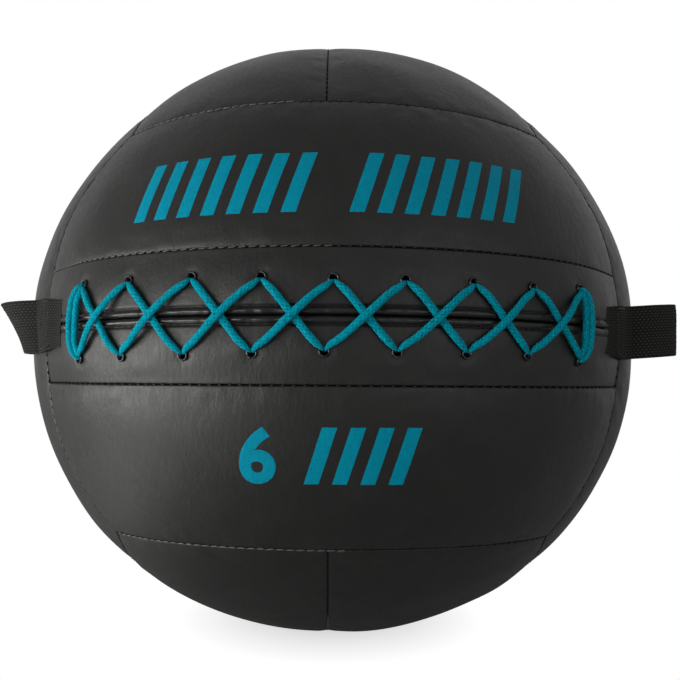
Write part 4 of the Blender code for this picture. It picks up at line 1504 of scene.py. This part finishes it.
class Finish:
    """Builds a finish out of shader nodes."""

    def __init__(self, name):
        self.material = bpy.data.materials.new(name)
        self.material.use_nodes = True
        self.tree = self.material.node_tree
        self.shader = self.tree.nodes["Principled BSDF"]

    def set(self, **sockets):
        """Values on the shader's own sockets."""
        for key, value in sockets.items():
            self.shader.inputs[key.replace("_", " ")].default_value = value
        return self

    def node(self, kind, **settings):
        """A node with its properties and input values; sockets given as nodes are linked."""
        made = self.tree.nodes.new("ShaderNode" + kind)
        for key, value in settings.items():
            if key.startswith("in_"):
                slot = key[3:]
                socket = made.inputs[int(slot)] if slot.isdigit() else made.inputs[slot]
                self.feed(socket, value)
            else:
                setattr(made, key, value)
        return made

    def feed(self, socket, value):
        """Links a socket to an output, or sets its value."""
        if isinstance(value, bpy.types.NodeSocket):
            self.tree.links.new(value, socket)
        else:
            socket.default_value = value

    def place(self, kind="Object", scale=(1, 1, 1)):
        """The piece's own coordinates, stretched by a scale."""
        where = self.node("TexCoord").outputs[kind]
        mapping = self.node("Mapping", in_Vector=where)
        mapping.inputs["Scale"].default_value = scale
        return mapping.outputs["Vector"]

    def attribute(self, name):
        return self.node("Attribute", attribute_name=name).outputs["Fac"]

    def noise(self, where, scale, detail=3.0, roughness=0.5):
        return self.node("TexNoise", in_Vector=where, in_Scale=scale, in_Detail=detail,
                         in_Roughness=roughness).outputs["Fac"]

    def cells(self, where, scale):
        return self.node("TexVoronoi", in_Vector=where, in_Scale=scale).outputs["Distance"]

    def math(self, operation, a, b):
        return self.node("Math", operation=operation, in_0=a, in_1=b).outputs[0]

    def spread(self, value, low, high, to_low, to_high):
        """A value's range stretched onto another."""
        return self.node("MapRange", in_0=value, in_1=low, in_2=high, in_3=to_low,
                         in_4=to_high).outputs[0]

    def ramp(self, fac, stops):
        """A colour ramp of place and colour."""
        made = self.node("ValToRGB", in_Fac=fac)
        elements = made.color_ramp.elements
        while len(elements) < len(stops):
            elements.new(0.5)
        for element, (place, tint) in zip(elements, stops):
            element.position = place
            element.color = (*tint, 1)
        return made.outputs["Color"]

    def bump(self, height, distance, strength=1.0, under=None):
        """A bump, over another one where given."""
        made = self.node("Bump", in_Height=height, in_Distance=distance, in_Strength=strength)
        if under is not None:
            self.tree.links.new(under, made.inputs["Normal"])
        return made.outputs["Normal"]

    def finish(self, **links):
        """Links outputs to the shader's sockets and gives the material."""
        for key, value in links.items():
            self.tree.links.new(value, self.shader.inputs[key.replace("_", " ")])
        return self.material


def tinted(colour_value, factor):
    """A colour made darker or paler."""
    return tuple(min(1.0, c * factor) for c in colour_value)


def leather_grain(finish):
    """Pebbled grain, fine creases and broad unevenness of coated leather, as one bump."""
    here = finish.place()
    pebbles = finish.cells(here, 1150)
    fine = finish.noise(here, 2600, 2)
    creases = finish.noise(finish.place(scale=(520, 520, 210)), 1.0, 5, 0.62)
    broad = finish.noise(here, 70, 3)
    grain = finish.bump(pebbles, 0.00008, 0.5)
    grain = finish.bump(fine, 0.00004, 0.5, grain)
    grain = finish.bump(creases, 0.00032, 0.6, grain)
    return finish.bump(broad, 0.0005, 0.5, grain), broad, creases


def leather_finish(colours, name="black_leather", lips=False):
    """Matt black coated leather, glossier on the rolled lips where asked."""
    finish = Finish(name)
    grain, broad, creases = leather_grain(finish)
    base = tuple(colours.leather)
    tint = finish.ramp(broad, [(0.3, tinted(base, 0.8)), (0.5, base), (0.72, tinted(base, 1.35))])
    rough = finish.spread(creases, 0.3, 0.7, 0.43, 0.53)
    if lips:
        slit = finish.attribute("to_slit")
        shine = finish.spread(slit, 0.0028, 0.0042, 0.0, 1.0)
        rough = finish.node("Mix", data_type="FLOAT", in_0=shine, in_2=0.30, in_3=rough).outputs[0]
    finish.set(Specular_IOR_Level=0.42)
    return finish.finish(Base_Color=tint, Roughness=rough, Normal=grain)


def thread_finish(tint, name):
    """Twisted sewing thread."""
    finish = Finish(name)
    twist = finish.node("TexWave", in_Vector=finish.place("UV", (1, 0.6, 1)), in_Scale=2.2,
                        bands_direction="DIAGONAL").outputs["Fac"]
    shade = finish.ramp(twist, [(0.2, tinted(tint, 0.6)), (0.8, tinted(tint, 1.15))])
    normal = finish.bump(twist, 0.0001, 0.6)
    finish.set(Roughness=0.45)
    return finish.finish(Base_Color=shade, Normal=normal)


def lace_finish(colours):
    """Braided turquoise yarn with loose fibres, with painted shade in the braid's valleys and a
    painted highlight on its crests.
    """
    finish = Finish("turquoise_braid")
    base = tuple(colours.lace)
    fibres = finish.noise(finish.place("UV", (2600, 5200, 1)), 1.0, 3, 0.65)
    flecks = finish.noise(finish.place("UV", (620, 1500, 1)), 1.0, 4, 0.7)
    # The braid's crest height paints its valleys darker and its crests paler: painted shade and
    # painted highlight.
    crest = finish.attribute("braid_shading")
    level = finish.math("ADD", finish.math("MULTIPLY", crest, 0.22),
                        finish.math("MULTIPLY", fibres, 0.40))
    level = finish.math("ADD", level, finish.math("MULTIPLY", flecks, 0.85))
    shade = finish.ramp(level, [(0.50, tinted(base, 0.10)), (0.63, tinted(base, 0.60)),
                                (0.78, tinted(base, 1.10)), (0.95, tinted(base, 1.6))])
    normal = finish.bump(fibres, 0.00012, 0.8)
    normal = finish.bump(flecks, 0.00030, 0.6, normal)
    finish.set(Roughness=0.9, Specular_IOR_Level=0.05)
    return finish.finish(Base_Color=shade, Normal=normal)


def webbing_finish(colours):
    """Black woven webbing, with a painted highlight on the crowns of its yarns and painted shade
    between them.
    """
    finish = Finish("black_webbing")
    base = tuple(colours.webbing)
    yarn = finish.attribute("weave")
    threads = finish.noise(finish.place("UV", (900, 5200, 1)), 1.0, 3, 0.6)
    level = finish.math("ADD", finish.math("MULTIPLY", yarn, 0.75),
                        finish.math("MULTIPLY", threads, 0.25))
    # The yarns' height paints their crowns paler and the hollows darker: painted highlight and
    # painted shade.
    shade = finish.ramp(level, [(0.2, tinted(base, 0.30)), (0.6, base), (0.95, tinted(base, 3.6))])
    normal = finish.bump(threads, 0.00009, 0.8)
    finish.set(Roughness=0.85, Specular_IOR_Level=0.10)
    return finish.finish(Base_Color=shade, Normal=normal)


def ink_finish(colours):
    """Printed turquoise ink on grained leather, thin and a little cracked."""
    finish = Finish("turquoise_ink")
    base = tuple(colours.ink)
    grain, _, creases = leather_grain(finish)
    speck = finish.noise(finish.place(), 1500, 3, 0.7)
    level = finish.math("ADD", finish.math("MULTIPLY", speck, 0.65),
                        finish.math("MULTIPLY", creases, 0.35))
    shade = finish.ramp(level, [(0.30, tinted(base, 0.42)), (0.42, tinted(base, 0.9)),
                                (0.60, base), (0.8, tinted(base, 1.15))])
    rough = finish.spread(speck, 0.3, 0.7, 0.62, 0.5)
    finish.set(Specular_IOR_Level=0.06)
    return finish.finish(Base_Color=shade, Roughness=rough, Normal=grain)


def metal_finish(colours):
    """Dark plated metal, rubbed paler in places."""
    finish = Finish("gunmetal")
    base = tuple(colours.metal)
    here = finish.place()
    rubbed = finish.noise(here, 900, 3, 0.6)
    shade = finish.ramp(rubbed, [(0.35, tinted(base, 0.6)), (0.55, base), (0.75, tinted(base, 3.2))])
    rough = finish.spread(rubbed, 0.3, 0.7, 0.22, 0.4)
    normal = finish.bump(finish.noise(here, 2400, 2), 0.00003, 0.5)
    finish.set(Metallic=1.0)
    return finish.finish(Base_Color=shade, Roughness=rough, Normal=normal)


def fibre_finish(colours):
    """Packed textile fibre, flecked."""
    finish = Finish("textile_fibre")
    base = tuple(colours.filling)
    here = finish.place()
    strands = finish.noise(finish.place(scale=(900, 160, 500)), 1.0, 5, 0.7)
    flecks = finish.cells(here, 160)
    shade = finish.ramp(strands, [(0.3, tinted(base, 0.45)), (0.55, base), (0.8, tinted(base, 1.5))])
    normal = finish.bump(strands, 0.0008, 0.8, finish.bump(flecks, 0.0015, 0.6))
    finish.set(Roughness=0.95, Specular_IOR_Level=0.1, Sheen_Weight=0.3)
    return finish.finish(Base_Color=shade, Normal=normal)


def canvas_finish(colours):
    """Plain canvas of the weight bag."""
    finish = Finish("bag_canvas")
    base = tuple(colours.canvas)
    here = finish.place()
    warp = finish.node("TexWave", in_Vector=here, in_Scale=260.0, in_Distortion=1.0,
                       bands_direction="X").outputs["Fac"]
    weft = finish.node("TexWave", in_Vector=here, in_Scale=260.0, in_Distortion=1.0,
                       bands_direction="Z").outputs["Fac"]
    weave = finish.math("MAXIMUM", warp, weft)
    shade = finish.ramp(weave, [(0.2, tinted(base, 0.5)), (0.8, tinted(base, 1.1))])
    finish.set(Roughness=0.9, Specular_IOR_Level=0.15)
    return finish.finish(Base_Color=shade, Normal=finish.bump(weave, 0.0004, 0.8))


LOOKS = {}


def looks():
    """All the finishes, made once."""
    if not LOOKS:
        colours = bpy.context.scene.wall_ball_colours
        LOOKS["leather"] = leather_finish(colours)
        LOOKS["lip_leather"] = leather_finish(colours, "band_leather", True)
        LOOKS["thread"] = thread_finish(tuple(colours.thread), "dark_thread")
        # The paler thread is a painted highlight of the dark thread.
        LOOKS["thread_painted_highlight"] = thread_finish(tuple(colours.thread_painted_highlight), "thread_painted_highlight")
        LOOKS["lace"] = lace_finish(colours)
        LOOKS["webbing"] = webbing_finish(colours)
        LOOKS["ink"] = ink_finish(colours)
        LOOKS["metal"] = metal_finish(colours)
        LOOKS["filling"] = fibre_finish(colours)
        LOOKS["canvas"] = canvas_finish(colours)
    return LOOKS


class CoverPanels(bpy.types.Operator):
    """Sew the twelve padded leather panels and press them out from inside"""

    bl_idname = "wallball.cover_panels"
    bl_label = "Padded panels"

    def execute(self, context):
        ball = Ball(context)
        pressed = pressed_panels(ball)
        seed = context.scene.wall_ball_stage.noise_seed
        for number, (name, face, low, high) in enumerate(ball.panels()):
            piece = panel_mesh(ball, "leather_" + name, face, low, high, pressed[name],
                               looks()["leather"], seed + number)
            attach(piece, "ball")
            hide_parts(name)
        return {"FINISHED"}


class LacedBand(bpy.types.Operator):
    """Make the two halves of the laced band and their topstitching"""

    bl_idname = "wallball.laced_band"
    bl_label = "Laced band"

    def execute(self, context):
        ball, lacing = Ball(context), context.scene.wall_ball_lacing
        for row, sign in ROWS:
            piece = band_mesh(ball, lacing, "leather_%s_band" % row, sign,
                              looks()["lip_leather"], 60 + sign)
            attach(piece, "ball")
            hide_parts("lacing_%s_band" % row)
        thread = sew_lips(ball, lacing, looks())
        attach(thread, "ball")
        return {"FINISHED"}


class SeamThread(bpy.types.Operator):
    """Sew every seam of the cover with single stitches"""

    bl_idname = "wallball.seam_thread"
    bl_label = "Seam thread"

    def execute(self, context):
        for piece in sew_seams(Ball(context), looks()):
            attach(piece, "ball")
        return {"FINISHED"}


class Print(bpy.types.Operator):
    """Print the stripes and the number on the front"""

    bl_idname = "wallball.print"
    bl_label = "Print"

    def execute(self, context):
        ball = Ball(context)
        tree = surface_of(bpy.data.objects["leather_front_upper_panel"],
                          bpy.data.objects["leather_front_lower_panel"])
        pieces = print_stripes(ball, tree, looks()["ink"])
        pieces.append(print_number(ball, tree, looks()["ink"]))
        for piece in pieces:
            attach(piece, "ball")
        return {"FINISHED"}


class Eyelets(bpy.types.Operator):
    """Press the eighteen eyelets into the laced band"""

    bl_idname = "wallball.eyelets"
    bl_label = "Eyelets"

    def execute(self, context):
        for piece, node in make_eyelets(Ball(context), context.scene.wall_ball_lacing, looks()):
            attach(piece, "ball")
            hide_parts(node)
        return {"FINISHED"}


class Lace(bpy.types.Operator):
    """Thread the braided lace through the eyelets"""

    bl_idname = "wallball.lace"
    bl_label = "Lace"

    def execute(self, context):
        piece = make_lace(Ball(context), context.scene.wall_ball_lacing, looks())
        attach(piece, "ball")
        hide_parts("lace")
        return {"FINISHED"}


class WebbingLoops(bpy.types.Operator):
    """Weave the two loops and sew their bases down"""

    bl_idname = "wallball.webbing_loops"
    bl_label = "Webbing loops"

    def execute(self, context):
        ball, loops = Ball(context), context.scene.wall_ball_loops
        for side, way in SIDES:
            strap, thread, start, end = make_webbing(ball, loops, side, way, looks())
            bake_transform(strap)
            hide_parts(side + "_loop_base", side + "_webbing_loop")
            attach(thread, "ball")
        return {"FINISHED"}


class Inside(bpy.types.Operator):
    """Make the tongue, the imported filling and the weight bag"""

    bl_idname = "wallball.inside"
    bl_label = "Inside"

    def execute(self, context):
        ball = Ball(context)
        flap = make_flap(ball, looks())
        front = make_half_filling(ball, "fibre_front", -1, looks())
        rear = make_half_filling(ball, "fibre_rear", 1, looks())
        core = make_core(ball, looks())
        for piece, node, slot in ((flap, "lacing_flap", "flap"), (front, "filling_front", "filling"),
                                  (rear, "filling_rear", "filling"), (core, "core_bag", "core")):
            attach(piece, "ball")
            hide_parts(node)
        return {"FINISHED"}


def soft_lamp(name, place, target, size, power, tint):
    """A soft square lamp that looks at a target."""
    data = bpy.data.lights.new(name, "AREA")
    data.shape = "RECTANGLE"
    data.size, data.size_y = size
    data.energy = power
    data.color = tint
    obj = bpy.data.objects.new(name, data)
    obj.visible_camera = False
    obj.location = place
    obj.rotation_euler = (Vector(target) - Vector(place)).to_track_quat("-Z", "Y").to_euler()
    bpy.context.scene.collection.objects.link(obj)
    return obj


def make_floor(stage):
    """A plain white floor that keeps the ball's shadow."""
    bpy.ops.object.select_all(action="DESELECT")
    bpy.ops.mesh.primitive_plane_add(size=stage.floor_side)
    floor = bpy.context.object
    floor.name = "floor"
    finish = Finish("white_floor")
    tree = finish.tree
    finish.set(Roughness=0.9, Specular_IOR_Level=0.0)
    finish.shader.inputs["Base Color"].default_value = (0.70, 0.70, 0.70, 1)
    away = finish.node("VectorMath", operation="LENGTH", in_0=finish.place()).outputs["Value"]
    clear = finish.spread(away, 0.02, 0.09, 0.55, 1.0)
    path = finish.node("LightPath")
    seen = finish.math("MULTIPLY", path.outputs["Is Camera Ray"], clear)
    white = finish.node("Emission", in_Strength=1.0)
    mix = finish.node("MixShader", in_0=seen, in_1=finish.shader.outputs[0],
                      in_2=white.outputs[0])
    tree.links.new(mix.outputs[0], tree.nodes["Material Output"].inputs["Surface"])
    floor.data.materials.append(finish.material)


def make_world(stage):
    """A dim even room with a white backdrop: white to the camera, and to a gloss behind the ball."""
    world = bpy.data.worlds.new("pale_room")
    bpy.context.scene.world = world
    world.use_nodes = True
    tree = world.node_tree

    def node(kind, **inputs):
        made = tree.nodes.new("ShaderNode" + kind)
        for key, value in inputs.items():
            slot = made.inputs[int(key[3:])]
            if isinstance(value, bpy.types.NodeSocket):
                tree.links.new(value, slot)
            else:
                slot.default_value = value
        return made

    lit = tree.nodes["Background"]
    lit.inputs["Color"].default_value = (1, 1, 1, 1)
    lit.inputs["Strength"].default_value = stage.room_level
    path = tree.nodes.new("ShaderNodeLightPath")
    way = node("SeparateXYZ", in_0=tree.nodes.new("ShaderNodeTexCoord").outputs["Generated"])
    behind = node("MapRange", in_0=way.outputs["Y"], in_1=0.25, in_2=0.95, in_3=0.0, in_4=1.0)
    gloss = node("Math", in_0=path.outputs["Is Glossy Ray"], in_1=behind.outputs[0])
    gloss.operation = "MULTIPLY"
    clear = node("Math", in_0=path.outputs["Is Camera Ray"],
                 in_1=path.outputs["Is Transmission Ray"])
    clear.operation = "MAXIMUM"
    seen = node("Math", in_0=clear.outputs[0], in_1=gloss.outputs[0])
    seen.operation = "MAXIMUM"
    white = node("Background", in_0=(1, 1, 1, 1), in_1=1.0)
    mix = node("MixShader", in_0=seen.outputs[0], in_1=lit.outputs[0], in_2=white.outputs[0])
    tree.links.new(mix.outputs[0], tree.nodes["World Output"].inputs["Surface"])


def make_camera(ball, stage):
    """The camera of the picture: slightly under the ball's middle and a little rolled."""
    data = bpy.data.cameras.new("camera")
    data.sensor_width = 36
    data.lens = stage.focal_pixels / IMAGE_SIDE * data.sensor_width
    data.shift_x = (IMAGE_SIDE / 2 - PICTURE_CENTRE[0]) / IMAGE_SIDE
    data.shift_y = (PICTURE_CENTRE[1] - IMAGE_SIDE / 2) / IMAGE_SIDE
    data.clip_start = 0.01
    camera = bpy.data.objects.new("camera", data)
    bpy.context.scene.collection.objects.link(camera)
    centre = Vector((0, 0, ball.centre_height))
    lift, roll = stage.camera_lift, stage.camera_roll
    back = Vector((0, -math.cos(lift), math.sin(lift)))
    right = Vector((1, 0, 0))
    up = back.cross(right)
    rolled_right = right * math.cos(roll) + up * math.sin(roll)
    rolled_up = up * math.cos(roll) - right * math.sin(roll)
    turn_matrix = Matrix((rolled_right, rolled_up, back)).transposed().to_4x4()
    camera.matrix_world = Matrix.Translation(centre + back * stage.camera_distance) @ turn_matrix
    bpy.context.scene.camera = camera


class Stage(bpy.types.Operator):
    """Set up the floor, the light and the camera"""

    bl_idname = "wallball.stage"
    bl_label = "Stage"

    def execute(self, context):
        stage = context.scene.wall_ball_stage
        ball = Ball(context)
        make_floor(stage)
        make_world(stage)
        soft_lamp("window_left", (-0.85, -0.66, 0.095), (0, -0.55, 0.02), (1.2, 0.17),
                  stage.window_power, (1.0, 0.995, 0.97))
        soft_lamp("fill_right", (0.80, -1.20, 0.30), (0, 0, 0.17), (0.9, 0.9),
                  stage.fill_power, (1.0, 1.0, 1.0))
        low = soft_lamp("low_left", (-0.33, -0.22, 0.18), (-0.30, -0.22, 0), (0.32, 0.24),
                        stage.low_power, (1.0, 0.995, 0.97))
        low.data.spread = math.radians(50)
        make_camera(ball, stage)
        context.scene.view_settings.view_transform = "Standard"
        return {"FINISHED"}


class PartsPanel(bpy.types.Panel):
    """Buttons for the pieces and the sizes that they read"""

    bl_idname = "VIEW3D_PT_wall_ball"
    bl_label = "Wall Ball"
    bl_space_type = "VIEW_3D"
    bl_region_type = "UI"
    bl_category = "Wall Ball"

    def draw(self, context):
        layout = self.layout
        for operator in OPERATORS:
            layout.operator(operator.bl_idname)
        for key in GROUPS:
            group = getattr(context.scene, key)
            box = layout.box()
            for name in group.bl_rna.properties.keys():
                if name not in ("rna_type", "name"):
                    box.prop(group, name)


GROUPS = {"wall_ball_cover": CoverSizes, "wall_ball_lacing": LacingSizes,
          "wall_ball_loops": LoopSizes, "wall_ball_colours": FinishColours,
          "wall_ball_stage": StageSizes}
OPERATORS = (Stage, CoverPanels, LacedBand, SeamThread, Print, Eyelets, Lace, WebbingLoops, Inside)
CLASSES = (*GROUPS.values(), *OPERATORS, PartsPanel)


def register():
    for cls in CLASSES:
        bpy.utils.register_class(cls)
    for key, group in GROUPS.items():
        setattr(bpy.types.Scene, key, PointerProperty(type=group))


def unregister():
    for key in GROUPS:
        delattr(bpy.types.Scene, key)
    for cls in reversed(CLASSES):
        bpy.utils.unregister_class(cls)


def main():
    """Makes every piece in order."""
    register()
    bpy.ops.wallball.stage()
    bpy.ops.wallball.cover_panels()
    bpy.ops.wallball.laced_band()
    bpy.ops.wallball.seam_thread()
    bpy.ops.wallball.print()
    bpy.ops.wallball.eyelets()
    bpy.ops.wallball.lace()
    bpy.ops.wallball.webbing_loops()
    bpy.ops.wallball.inside()


if __name__ == "__main__":
    main()
